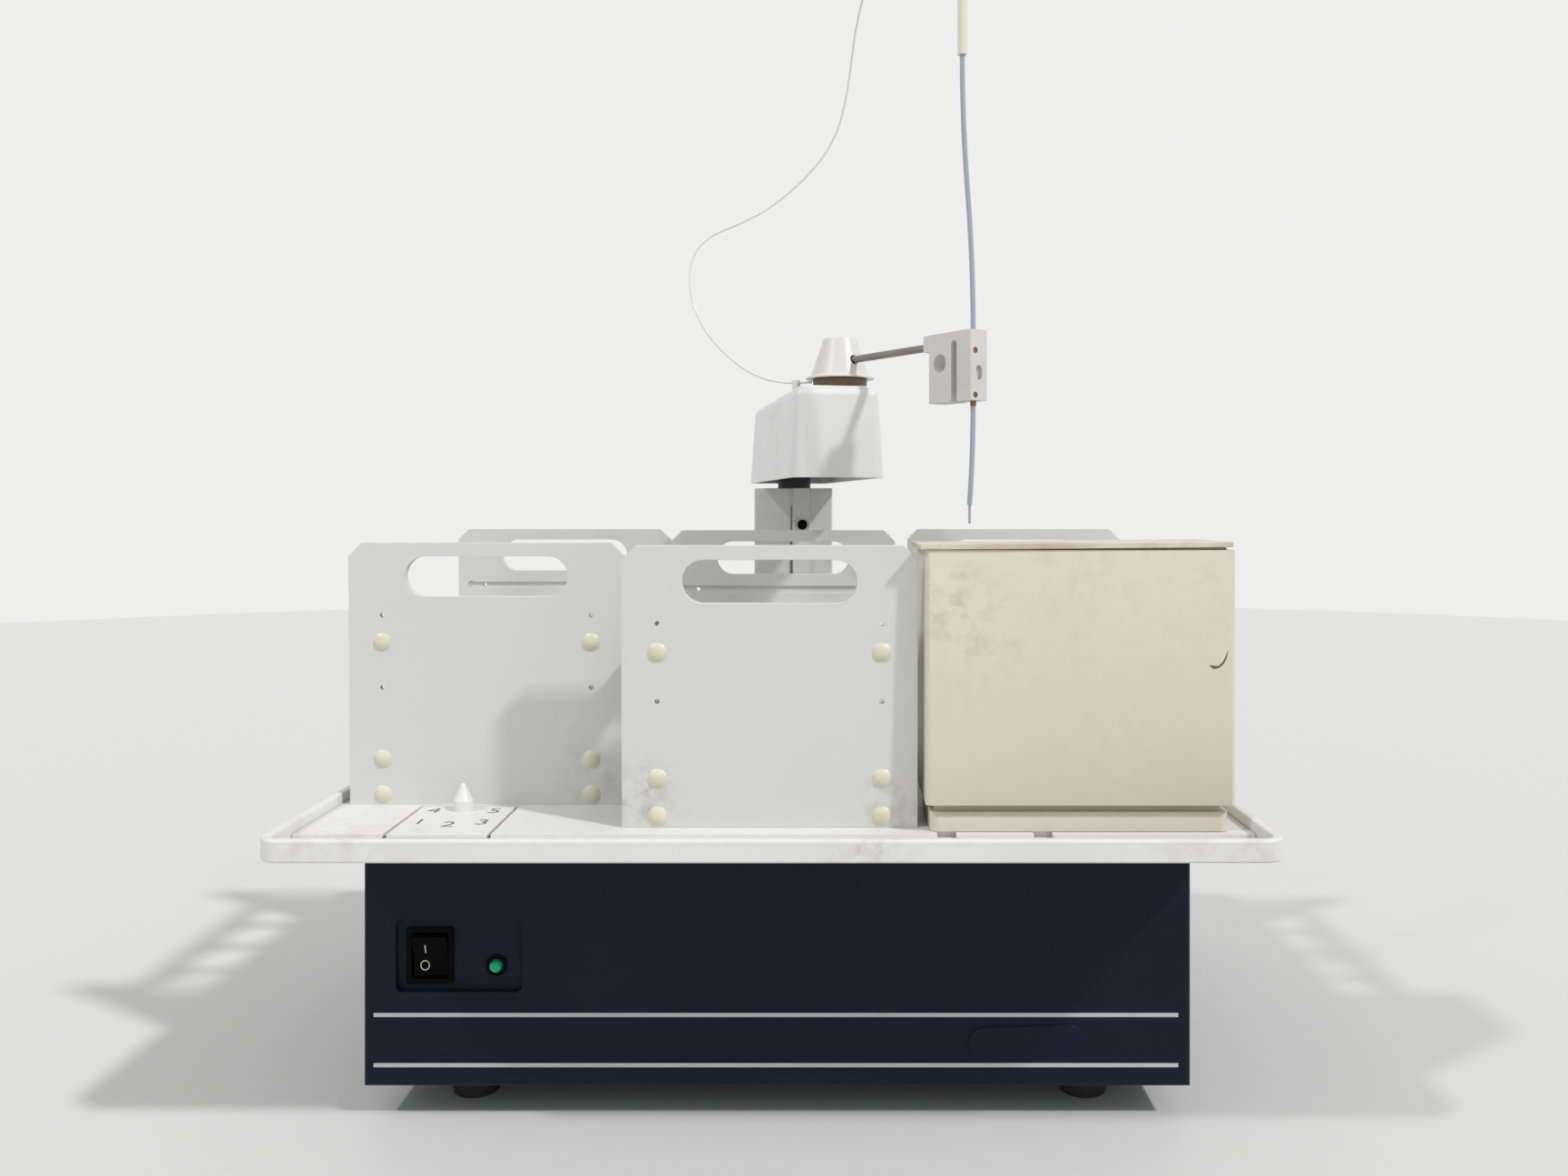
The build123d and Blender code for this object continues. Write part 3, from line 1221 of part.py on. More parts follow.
def probe():
    """Long thin probe: straight in its holder, slightly bowed above and below it."""
    at = probe_place().position
    z_low, z_high = HOLDER_TOP - HOLDER_H, HOLDER_TOP
    drop, rise = z_low - PROBE_BOTTOM, PROBE_TOP - z_high
    mid = (-PROBE_TOP_BOW / 2, z_high + rise / 2)
    lower_r = (drop**2 + PROBE_TIP_BOW**2) / (2 * PROBE_TIP_BOW)
    upper_r = (rise**2 + PROBE_TOP_BOW**2) / (4 * PROBE_TOP_BOW)
    lower = RadiusArc((-PROBE_TIP_BOW, PROBE_BOTTOM), (0, z_low), -lower_r)
    straight = Line((0, z_low), (0, z_high))
    first = RadiusArc((0, z_high), mid, -upper_r)
    second = RadiusArc(mid, (-PROBE_TOP_BOW, PROBE_TOP), upper_r)
    front_view = Plane((at.X, at.Y, 0), x_dir=(1, 0, 0), z_dir=(0, -1, 0))
    path = front_view * (lower + straight + first + second)
    start = Plane(path @ 0, z_dir=path % 0)
    tube = sweep(start * Circle(PROBE_R), path=path)
    tip_x = at.X - PROBE_TIP_BOW
    tip = post(tip_x, at.Y, PROBE_TIP_Z, PROBE_BOTTOM + 1, PROBE_TIP_R)
    return tube + tip


def probe_sleeve():
    """Cream sleeve on the probe's top, where the capillary goes in."""
    at = probe_place().position
    sleeve = post(at.X - PROBE_TOP_BOW, at.Y, PROBE_TOP, PROBE_TOP + SLEEVE_L, SLEEVE_R)
    return fillet(sleeve.edges().group_by(Axis.Z)[-1], 0.8)


def capillary():
    """Thin capillary along its route, straight runs joined by tangent arcs."""
    points = [Vector(*p) for p in CAPILLARY_ROUTE]
    at = probe_place().position
    top_x, top_z = at.X - PROBE_TOP_BOW, PROBE_TOP + SLEEVE_L
    points[-2:] = [Vector(top_x, at.Y, points[-2].Z), Vector(top_x, at.Y, top_z)]
    radii = []
    for a, b, c in zip(points, points[1:], points[2:]):
        turn = (b - a).get_angle(c - b)
        shorter = min((b - a).length, (c - b).length)
        radii.append(0.45 * shorter / math.tan(math.radians(turn / 2)))
    print("capillary radii", [round(r) for r in radii])
    path = FilletPolyline(*points, radius=radii)
    tube = sweep(Plane(path @ 0, z_dir=path % 0) * Circle(CORD_R), path=path)
    print("capillary length", round(path.length, 1))
    print("capillary volume ratio", round(tube.volume / (math.pi * CORD_R**2 * path.length), 4))
    return tube


def write(name, shape):
    """Write one node, from one solid or a list of them."""
    solids = shape if isinstance(shape, list) else [shape]
    export_step(Compound(children=[s for piece in solids for s in piece.solids()]), f"parts/{name}.step")


def main():
    os.makedirs("parts", exist_ok=True)
    makers = [
        base_shell, front_panel, rear_panel, feet, switch_bezel, rocker, lamp_bezel, lamp_lens,
        rear_sockets, power_supply, control_board, rails, x_motor, x_screw,
        tray_pan, deck, number_plate, locating_peg, reservoir_tank, reservoir_lid,
        carriage, slide_bushes, tower_frame, tower_cover, tower_cap, stop_bar, knob_screw,
        z_motor, z_screw, mast_tube, mast_nut, mast_spindle,
        head_frame, head_rear_cover, head_front_cover, head_bearings, swing_motor, arm_motor,
        hub_collar, capillary_clip, drive_gear, idler_gear, compound_gear,
        hub_spindle, cone_hub, arm_rod, probe_holder, clamp_screws, probe, probe_sleeve, capillary,
    ]
    for maker in makers:
        write(maker.__name__, maker())
    plates, shelves, caps = rack_plates(), rack_shelves(), rack_caps()
    for place in RACK_PLACES:
        at = rack_frame(place)
        write(f"rack_{place}_plates", [at * piece for piece in plates])
        write(f"rack_{place}_shelves", [at * piece for piece in shelves])
        write(f"rack_{place}_caps", [at * piece for piece in caps])


main()
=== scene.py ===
"""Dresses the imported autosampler: finishes, soft edges, panel marks, small parts, capillary and stage."""

import json
import math

import bmesh
import bpy
from bpy.props import FloatProperty, FloatVectorProperty, IntProperty, PointerProperty
from bpy.types import Operator, Panel, PropertyGroup
from mathutils import Matrix, Vector
from mathutils.bvhtree import BVHTree

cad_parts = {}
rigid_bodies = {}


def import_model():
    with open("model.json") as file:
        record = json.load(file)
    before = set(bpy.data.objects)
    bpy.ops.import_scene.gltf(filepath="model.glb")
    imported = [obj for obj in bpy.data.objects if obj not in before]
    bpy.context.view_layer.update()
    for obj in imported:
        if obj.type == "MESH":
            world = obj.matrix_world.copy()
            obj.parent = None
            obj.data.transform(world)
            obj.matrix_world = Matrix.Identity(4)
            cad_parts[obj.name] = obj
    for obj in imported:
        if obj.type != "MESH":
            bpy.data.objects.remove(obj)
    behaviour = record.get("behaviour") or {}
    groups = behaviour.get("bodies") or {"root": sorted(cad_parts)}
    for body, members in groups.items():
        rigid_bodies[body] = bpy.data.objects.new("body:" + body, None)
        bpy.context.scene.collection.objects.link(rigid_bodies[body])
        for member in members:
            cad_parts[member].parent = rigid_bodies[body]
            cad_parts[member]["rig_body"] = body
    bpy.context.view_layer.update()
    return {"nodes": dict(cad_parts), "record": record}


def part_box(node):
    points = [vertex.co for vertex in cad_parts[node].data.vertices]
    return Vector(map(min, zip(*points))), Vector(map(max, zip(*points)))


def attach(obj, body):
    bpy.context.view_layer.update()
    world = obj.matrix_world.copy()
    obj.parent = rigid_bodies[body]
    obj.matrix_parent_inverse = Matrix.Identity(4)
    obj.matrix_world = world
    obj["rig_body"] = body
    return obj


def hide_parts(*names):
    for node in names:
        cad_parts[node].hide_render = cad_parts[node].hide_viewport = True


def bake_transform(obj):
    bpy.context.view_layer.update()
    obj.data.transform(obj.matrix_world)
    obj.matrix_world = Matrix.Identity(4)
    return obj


bl_info = {
    "name": "Autosampler dressing",
    "version": (1, 0, 0),
    "blender": (4, 5, 0),
    "location": "View3D > Sidebar > Autosampler",
    "description": "Finishes, marks and small parts for a benchtop autosampler",
    "category": "Object",
}

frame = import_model()
NODES = frame["nodes"]

MM = 0.001
MM_PER_M = 1000.0
PHOTO_W = 1728
PHOTO_H = 1296

# Places on the object are in millimetres. The camera, the lamps, the floor, the capillary and the sizes
# of small pieces are in metres.

# Camera, as the photograph was framed
CAMERA_AT = (0.028, -0.876, 0.360)
FOCAL_PX = 1400.0
VANISH_PX = (909.0, 560.0)
SENSOR_MM = 36.0
NEAREST_SEEN = 0.01

# Lamps, background and floor
RIGHT_LAMP_AT = (1.50, -1.00, 1.98)
LEFT_LAMP_AT = (-1.30, -0.90, 1.98)
LAMP_AIM = (0.0, 0.0, 0.22)
LAMP_SPREAD = 3.5
WARMTH = 0.995
FLOOR_RADIUS = 4.0
FLOOR_SIDES = 96
FLOOR_ROUGHNESS = 0.7

# Front panel
PANEL_LEFT, PANEL_RIGHT = -243.0, 243.0
PANEL_Y = -129.0
STRIPE_LEVELS = (62.0, 32.5)
STRIPE_ENDS = (5.7, 7.2)
BADGE_AT = (146.3, 46.2)
BADGE_TURN = 2.0
BADGE_SUNK = 0.0004
BADGE_BEVEL = 0.00035
# Each part of the badge: name, growth of its outline, rise above the panel and finish
BADGE_PARTS = (
    ("badge_rim", 0.0009, 0.0005, "navy_paint"),
    ("badge_face", 0.0, 0.0009, "badge_blue"),
)

# Mains switch
MARK_ON = (-207.8, 99.8)
MARK_OFF = (-208.4, 89.6)
MARK_T = 0.00025
MARK_PROUD = 0.6
BAR_HALF_W, BAR_HALF_H = 0.0003, 0.0027
# Radius and squash of the ring's outer and inner edge
RING_OUTER = (0.0030, 0.92)
RING_INNER = (0.00252, 0.91)

# Lamp
LAMP_AT = (-166.0, 90.0)
LAMP_MOUTH_Y = -126.0
LENS_R = 3.9
LENS_SIDES = 14
LENS_BARREL = 0.98
# Rows of the lens's crown, as shares of its radius: depth behind its front and reach
LENS_CROWN = ((0.55, 0.94), (0.22, 0.72), (0.02, 0.36))

# Number plate
DECK_TOP = 181.2
PLATE_X = -184.85
PLATE_W = 55.3
PLATE_FRONT = -180.0
PLATE_BACK = -114.0
TRAY_FRONT = -215.0
# Each digit's X, and its distance behind the tray's front
DIGIT_PLACES = {
    "1": (-203.0, 63.0),
    "2": (-185.0, 57.0),
    "3": (-167.0, 62.0),
    "4": (-203.0, 90.0),
    "5": (-167.0, 89.0),
}
DIGIT_SHARE = 0.7
DIGIT_STRETCH = 1.02
INK_HALF_T = 0.00006
INK_WORN = 0.0002
INK_PROUD = 0.00005
GROOVE_FROM_PLATE = 1.0
GROOVE_DEEP = 2.0
# Dark strips on the groove floors beside the plate: half width and thickness
STRIP_HALF_W = 0.0009
STRIP_T = 0.0004

# Tank, and the places and widths along its scuff
TANK_FRONT = -179.0
SCUFF_LINE = (
    (239.3, 273.6),
    (241.5, 272.6),
    (244.0, 272.9),
    (246.4, 274.8),
    (248.0, 277.8),
    (249.2, 281.4),
)
SCUFF_WIDTHS = (0.5, 1.9, 1.2, 1.1, 0.8, 0.2)
SCUFF_T = 0.0003
SCUFF_PROUD = 0.00012

# Cover screws, with their places in metres
REAR_SCREWS_X = (-0.234, -0.08, 0.08, 0.234)
REAR_SCREWS_Y = 0.205
REAR_SCREWS_Z = (0.029, 0.166)
SIDE_SCREWS_X = 0.243
SIDE_SCREWS_Y = (-0.10, 0.04, 0.18)
SIDE_SCREWS_Z = 0.027
SCREW_TAPER = 0.72
# Length, width and height of one bar of the cross recess, as shares of the head's radius
RECESS_BAR = (1.15, 0.26, 0.7)

# Arm
HUB_AXIS = (38.667, 22.141)
ARM_TURN = 35.5
HOLDER_END = 144.7
CLAMP_SIDE = -2.9
CLAMP_LEVELS = (457.0, 429.6)
PROBE_OUT = 139.4
HOLDER_FOOT = 426.3
CLAMP_SCREW_R = 0.00188
CLAMP_SCREW_T = 0.0026
CLAMP_SCREW_BEVEL = 0.0002
CLAMP_SCREW_DEEP = 0.25
# Dark bars of painted shade that stand for the clamp screws' slots
SLOT_HALF_W, SLOT_HALF_H = 0.0014, 0.00022
SLOT_T = 0.0004
SLOT_DEEP = 0.2
SLOT_TURN = 0.7
FERRULE_OUTER, FERRULE_INNER = 0.0019, 0.00162
FERRULE_H = 0.0032
FITTING_SIDES = 28

# The capillary's route, in metres, from the hub collar through the clip and its loop to the probe's sleeve
CAPILLARY_ROUTE = [
    (0.0186, 0.0256, 0.4493),
    (0.0090, 0.0286, 0.4492),
    (-0.0033, 0.0320, 0.4498),
    (-0.0182, 0.0380, 0.4536),
    (-0.0334, 0.0460, 0.4627),
    (-0.0489, 0.0540, 0.4766),
    (-0.0617, 0.0610, 0.4925),
    (-0.0696, 0.0660, 0.5102),
    (-0.0727, 0.0680, 0.5257),
    (-0.0722, 0.0690, 0.5391),
    (-0.0680, 0.0700, 0.5523),
    (-0.0580, 0.0703, 0.5625),
    (-0.0402, 0.0694, 0.5696),
    (-0.0216, 0.0674, 0.5776),
    (-0.0030, 0.0646, 0.5896),
    (0.0130, 0.0612, 0.6028),
    (0.0276, 0.0570, 0.6186),
    (0.0376, 0.0524, 0.6356),
    (0.0436, 0.0460, 0.6570),
    (0.0470, 0.0384, 0.6794),
    (0.0500, 0.0280, 0.7020),
    (0.0566, 0.0110, 0.7246),
    (0.0696, -0.0160, 0.7404),
    (0.0856, -0.0460, 0.7450),
    (0.1004, -0.0716, 0.7374),
    (0.1098, -0.0868, 0.7220),
    (0.1129, -0.0913, 0.7040),
    (0.1129, -0.0913, 0.6880),
]
ROUTE_STEPS = 10
TUBE_ROUNDNESS = 3

# Mesh limits
SHARP = math.radians(38)
SHORTEST_EDGE = 0.00095
SAME_PLACE = 2e-6
ALMOST_FLAT = math.radians(0.4)
ON_FRONT = 1e-7
CORNER = 0.5

# Nodes that get softened edges: radius in millimetres
SOFT_EDGES = {
    "front_panel": 0.5,
    "rear_panel": 0.3,
    "deck": 0.4,
    "number_plate": 0.25,
    "tower_cap": 0.4,
    "stop_bar": 0.3,
    "probe_holder": 0.35,
    "switch_bezel": 0.3,
    "rocker": 0.5,
    "reservoir_tank": 0.7,
    "reservoir_lid": 0.35,
    "rack_left_plates": 0.6,
    "rack_centre_plates": 0.6,
    "rack_right_plates": 0.6,
    "rack_left_shelves": 0.4,
    "rack_centre_shelves": 0.4,
    "rack_right_shelves": 0.4,
}

# Noise of the finishes: cycles per metre, detail, and the low and high ends of the part that shows
BROAD_PATCHES = (14.0, 4.0, 0.42, 0.72)
FINE_PATCHES = (90.0, 3.0, 0.48, 0.80)
SPECKS = (520.0, 2.0, 0.735, 0.80)
STROKES = (60.0, 5.0, 0.70, 0.86)
STAIN_AND_SHADE_EDGES = (120.0, 6.0, 0.45, 0.70)
STROKE_STRETCH = (1.0, 1.0, 5.0)
NOISE_ROUGHNESS = 0.6
# Cycles per metre and detail of the noise in height and roughness
SWELL = (25.0, 2.0)
WANDER = (45.0, 4.0)
GRAIN_DETAIL = 2.0
MARK_TINT = (0.42, 0.38, 0.33, 1.0)
STAIN_AND_SHADE_CORE = 0.8
BUMP_DISTANCE = 0.0004
# Sockets of a colour mix node
MIX_FACTOR, MIX_FIRST, MIX_SECOND, MIX_RESULT = 0, 6, 7, 2


def look(tone, aged, rough, grain, depth, patch, speck, metal=0.0, ior=1.48):
    """One finish: two colours, roughness, grain size in millimetres, bump strength, wear and specks."""
    return {
        "tone": tone,
        "aged": aged,
        "rough": rough,
        "grain": grain,
        "depth": depth,
        "patch": patch,
        "speck": speck,
        "metal": metal,
        "ior": ior,
    }


FINISHES = {
    "aged_beige": look((0.7, 0.655, 0.555), (0.65, 0.58, 0.45), 0.42, 0.6, 0.05, 0.22, 0.2),
    "navy_paint": look((0.0068, 0.0112, 0.0225), (0.011, 0.017, 0.03), 0.5, 0.5, 0.1, 0.5, 0.1, ior=1.22),
    "tray_plastic": look((0.75, 0.75, 0.737), (0.62, 0.61, 0.57), 0.45, 0.7, 0.05, 0.35, 0.35),
    "rack_plastic": look((0.68, 0.683, 0.672), (0.66, 0.66, 0.635), 0.42, 0.6, 0.04, 0.3, 0.3),
    "cap_cream": look((0.72, 0.69, 0.58), (0.6, 0.55, 0.42), 0.35, 0.8, 0.03, 0.5, 0.55),
    "lid_board": look((0.68, 0.62, 0.52), (0.36, 0.27, 0.19), 0.6, 1.2, 0.15, 0.6, 0.4),
    "column_grey": look((0.72, 0.72, 0.705), (0.55, 0.55, 0.52), 0.4, 0.6, 0.04, 0.3, 0.2),
    "head_white": look((0.76, 0.765, 0.765), (0.68, 0.68, 0.66), 0.42, 0.4, 0.08, 0.25, 0.25),
    "cone_white": look((0.72, 0.715, 0.7), (0.7, 0.68, 0.62), 0.3, 0.5, 0.03, 0.3, 0.15),
    "collar_brown": look((0.17, 0.11, 0.07), (0.08, 0.05, 0.035), 0.5, 0.6, 0.1, 0.5, 0.2),
    "nylon_white": look((0.78, 0.78, 0.75), (0.66, 0.64, 0.57), 0.4, 0.5, 0.04, 0.3, 0.15),
    "steel": look((0.27, 0.245, 0.22), (0.17, 0.15, 0.135), 0.34, 0.5, 0.05, 0.4, 0.1, metal=1.0),
    "aluminium": look((0.66, 0.67, 0.68), (0.5, 0.5, 0.5), 0.38, 0.4, 0.05, 0.3, 0.1, metal=1.0),
    "brass": look((0.24, 0.15, 0.1), (0.14, 0.08, 0.05), 0.38, 0.3, 0.05, 0.5, 0.1, metal=1.0),
    "dark_mast": look((0.045, 0.045, 0.048), (0.09, 0.09, 0.09), 0.38, 0.4, 0.05, 0.4, 0.1, metal=0.6),
    "holder_grey": look((0.69, 0.685, 0.655), (0.5, 0.48, 0.44), 0.55, 0.5, 0.1, 0.4, 0.3),
    "black_rubber": look((0.018, 0.018, 0.018), (0.05, 0.05, 0.048), 0.8, 0.7, 0.2, 0.5, 0.2),
    "black_plastic": look(
        (0.0012, 0.0012, 0.0016), (0.003, 0.003, 0.0035), 0.3, 0.4, 0.06, 0.3, 0.1, ior=1.14
    ),
    "green_lens": look((0.001, 0.46, 0.2), (0.003, 0.17, 0.085), 0.12, 0.5, 0.02, 0.3, 0.0),
    "probe_tube": look((0.4, 0.41, 0.49), (0.36, 0.36, 0.42), 0.28, 0.5, 0.03, 0.5, 0.1),
    "sleeve_cream": look((0.78, 0.755, 0.66), (0.68, 0.63, 0.5), 0.4, 0.5, 0.04, 0.4, 0.15),
    "capillary_clear": look((0.8, 0.8, 0.8), (0.66, 0.66, 0.66), 0.2, 0.5, 0.02, 0.3, 0.0),
    "motor_black": look((0.025, 0.025, 0.027), (0.06, 0.06, 0.06), 0.45, 0.5, 0.08, 0.4, 0.1, metal=0.3),
    "board_green": look((0.02, 0.11, 0.05), (0.01, 0.05, 0.025), 0.4, 0.5, 0.06, 0.5, 0.2),
    "stripe_grey": look((0.56, 0.57, 0.57), (0.42, 0.43, 0.43), 0.5, 0.4, 0.03, 0.4, 0.1),
    "badge_blue": look((0.0042, 0.0095, 0.024), (0.006, 0.013, 0.03), 0.22, 0.6, 0.02, 0.3, 0.0, ior=1.25),
    "mark_white": look((0.72, 0.72, 0.7), (0.55, 0.55, 0.52), 0.5, 0.4, 0.03, 0.3, 0.1),
    # Ink of the digits and the scuff, and the painted shade of the clamp screws' slots
    "dark_ink_and_shade": look((0.1, 0.09, 0.085), (0.22, 0.2, 0.18), 0.6, 0.4, 0.03, 0.6, 0.1),
    "groove_dark_strip": look((0.11, 0.075, 0.055), (0.2, 0.15, 0.11), 0.8, 0.6, 0.1, 0.6, 0.3),
}

# Places that are darker than the rest: stains and dirt, and on the racks a painted shadow and darker
# corners: place in metres, reach in metres, amount and colour
STAINS_AND_SHADE = {
    "aged_beige": [
        ((0.097, -0.179, 0.309), 0.034, 0.42, (0.40, 0.29, 0.18)),
        ((0.112, -0.179, 0.286), 0.040, 0.26, (0.43, 0.33, 0.20)),
        ((0.165, -0.179, 0.335), 0.050, 0.24, (0.47, 0.37, 0.24)),
        ((0.245, -0.179, 0.330), 0.070, 0.18, (0.47, 0.38, 0.24)),
        ((0.170, -0.179, 0.245), 0.090, 0.12, (0.52, 0.43, 0.30)),
    ],
    # Rack plates: darker at the bottom corners of the centre rack's front plate; on the left rack's plate,
    # the painted shadow that the centre rack casts.
    "rack_plastic": [
        ((-0.075, -0.166, 0.196), 0.030, 0.55, (0.30, 0.26, 0.21)),
        ((0.066, -0.166, 0.192), 0.028, 0.45, (0.32, 0.28, 0.22)),
        ((-0.110, -0.111, 0.200), 0.030, 0.35, (0.36, 0.33, 0.28)),
    ],
    "tray_plastic": [
        ((0.052, -0.215, 0.184), 0.030, 0.40, (0.34, 0.28, 0.21)),
        ((0.240, -0.212, 0.186), 0.060, 0.30, (0.40, 0.34, 0.27)),
        ((-0.230, -0.190, 0.186), 0.070, 0.30, (0.42, 0.36, 0.28)),
    ],
}

NODE_FINISH = {row["node"]: row["material_slot"] for row in frame["record"]["subparts"]}
NODE_FINISH["capillary_clip"] = "head_white"


# Settings


class StageSettings(PropertyGroup):
    """Floor, lamps and background."""

    floor_tone: FloatVectorProperty(
        name="Floor", description="Colour of the floor", subtype="COLOR", default=(0.67, 0.672, 0.668)
    )
    background: FloatProperty(
        name="Background", description="Brightness of the background", default=0.86, min=0.0, max=1.0
    )
    ambient: FloatProperty(name="Ambient", description="Even light from all round", default=0.52, min=0.0)
    right_lamp: FloatProperty(
        name="Right lamp", description="Strength of the right lamp", default=1.75, min=0.0
    )
    left_lamp: FloatProperty(
        name="Left lamp", description="Strength of the left lamp", default=0.85, min=0.0
    )


class PanelSettings(PropertyGroup):
    """Marks on the front panel."""

    stripe_width: FloatProperty(
        name="Stripe width", description="Height of each pale stripe", default=0.0024, unit="LENGTH"
    )
    stripe_proud: FloatProperty(
        name="Stripe thickness", description="How far a stripe stands proud", default=0.00012, unit="LENGTH"
    )
    badge_width: FloatProperty(
        name="Badge width", description="Width of the blank badge", default=0.0682, unit="LENGTH"
    )
    badge_height: FloatProperty(
        name="Badge height", description="Height of the blank badge", default=0.0185, unit="LENGTH"
    )
    digit_height: FloatProperty(
        name="Digit height", description="Height of the numbers on the tray", default=0.0115, unit="LENGTH"
    )


class FittingSettings(PropertyGroup):
    """Screws and other small fittings."""

    screw_radius: FloatProperty(
        name="Screw head", description="Radius of a cover screw's head", default=0.0031, unit="LENGTH"
    )
    screw_height: FloatProperty(
        name="Screw height", description="Height of a cover screw's head", default=0.0017, unit="LENGTH"
    )
    screw_sides: IntProperty(
        name="Screw sides", description="Sides of a cover screw's head", default=28, min=8
    )


class CapillarySettings(PropertyGroup):
    """The thin capillary."""

    diameter: FloatProperty(
        name="Diameter", description="Outer diameter of the capillary", default=0.0016, unit="LENGTH"
    )
    length: FloatProperty(
        name="Length", description="Real length of the capillary", default=0.56, unit="LENGTH"
    )


# Shader groups


def new_group(name, inputs, outputs):
    """An empty shader node group with its sockets, and its input and output nodes."""
    group = bpy.data.node_groups.new(name, "ShaderNodeTree")
    for label, kind, default in inputs:
        socket = group.interface.new_socket(label, in_out="INPUT", socket_type=kind)
        socket.default_value = default
    for label, kind in outputs:
        group.interface.new_socket(label, in_out="OUTPUT", socket_type=kind)
    return group, group.nodes.new("NodeGroupInput"), group.nodes.new("NodeGroupOutput")


def math_node(tree, operation, a, b):
    """A math node fed by sockets or plain values."""
    node = tree.nodes.new("ShaderNodeMath")
    node.operation = operation
    for socket, value in zip(node.inputs, (a, b)):
        if isinstance(value, (int, float)):
            socket.default_value = value
        else:
            tree.links.new(value, socket)
    return node.outputs[0]


def noise_node(tree, scale, detail, stretch=None):
    """Noise on object coordinates; scale is a socket or a value, in cycles per metre."""
    place = tree.nodes.new("ShaderNodeTexCoord").outputs["Object"]
    if stretch:
        mapping = tree.nodes.new("ShaderNodeMapping")
        mapping.inputs["Scale"].default_value = stretch
        tree.links.new(place, mapping.inputs["Vector"])
        place = mapping.outputs["Vector"]
    noise = tree.nodes.new("ShaderNodeTexNoise")
    noise.inputs["Detail"].default_value = detail
    noise.inputs["Roughness"].default_value = NOISE_ROUGHNESS
    tree.links.new(place, noise.inputs["Vector"])
    if isinstance(scale, (int, float)):
        noise.inputs["Scale"].default_value = scale
    else:
        tree.links.new(scale, noise.inputs["Scale"])
    return noise.outputs["Fac"]


def range_node(tree, value, low, high, top):
    """Maps low..high of a value to 0..top, clamped."""
    node = tree.nodes.new("ShaderNodeMapRange")
    tree.links.new(value, node.inputs["Value"])
    node.inputs["From Min"].default_value = low
    node.inputs["From Max"].default_value = high
    if isinstance(top, (int, float)):
        node.inputs["To Max"].default_value = top
    else:
        tree.links.new(top, node.inputs["To Max"])
    return node.outputs["Result"]


def noise_range(tree, kind, top, stretch=None):
    """One kind of noise, mapped to 0..top."""
    scale, detail, low, high = kind
    return range_node(tree, noise_node(tree, scale, detail, stretch), low, high, top)


def mix_node(tree, factor, first, second):
    """Mixes two colours."""
    node = tree.nodes.new("ShaderNodeMix")
    node.data_type = "RGBA"
    tree.links.new(factor, node.inputs[MIX_FACTOR])
    tree.links.new(first, node.inputs[MIX_FIRST])
    tree.links.new(second, node.inputs[MIX_SECOND])
    return node.outputs[MIX_RESULT]


def worn_tone_group():
    """Colour that drifts in broad patches, with small specks and handling marks."""
    group, inside, out = new_group(
        "Worn tone",
        [
            ("Tone", "NodeSocketColor", (0.8, 0.8, 0.8, 1.0)),
            ("Aged tone", "NodeSocketColor", (0.6, 0.6, 0.6, 1.0)),
            ("Patch amount", "NodeSocketFloat", 0.3),
            ("Speck amount", "NodeSocketFloat", 0.2),
        ],
        [("Colour", "NodeSocketColor"), ("Marks", "NodeSocketFloat")],
    )
    broad = noise_range(group, BROAD_PATCHES, inside.outputs["Patch amount"])
    fine = noise_range(group, FINE_PATCHES, inside.outputs["Patch amount"])
    wear = math_node(group, "MAXIMUM", broad, fine)
    aged = mix_node(group, wear, inside.outputs["Tone"], inside.outputs["Aged tone"])
    specks = noise_range(group, SPECKS, inside.outputs["Speck amount"])
    strokes = noise_range(group, STROKES, inside.outputs["Speck amount"], STROKE_STRETCH)
    marks = math_node(group, "MAXIMUM", specks, strokes)
    dark = group.nodes.new("ShaderNodeMix")
    dark.data_type = "RGBA"
    dark.blend_type = "MULTIPLY"
    dark.inputs[MIX_FACTOR].default_value = 1.0
    group.links.new(inside.outputs["Aged tone"], dark.inputs[MIX_FIRST])
    dark.inputs[MIX_SECOND].default_value = MARK_TINT
    group.links.new(mix_node(group, marks, aged, dark.outputs[MIX_RESULT]), out.inputs["Colour"])
    group.links.new(marks, out.inputs["Marks"])
    return group


def fine_grain_group():
    """Height and roughness of a moulded, painted or drawn surface."""
    group, inside, out = new_group(
        "Fine grain",
        [
            ("Roughness", "NodeSocketFloat", 0.4),
            ("Grain size", "NodeSocketFloat", 0.5),
            ("Variation", "NodeSocketFloat", 0.12),
        ],
        [("Height", "NodeSocketFloat"), ("Roughness", "NodeSocketFloat")],
    )
    scale = math_node(group, "DIVIDE", MM_PER_M, inside.outputs["Grain size"])
    grain = noise_node(group, scale, GRAIN_DETAIL)
    swell = noise_node(group, *SWELL)
    group.links.new(math_node(group, "ADD", grain, swell), out.inputs["Height"])
    wander = math_node(group, "SUBTRACT", noise_node(group, *WANDER), 0.5)
    change = math_node(group, "MULTIPLY", wander, inside.outputs["Variation"])
    group.links.new(math_node(group, "ADD", change, inside.outputs["Roughness"]), out.inputs["Roughness"])
    return group


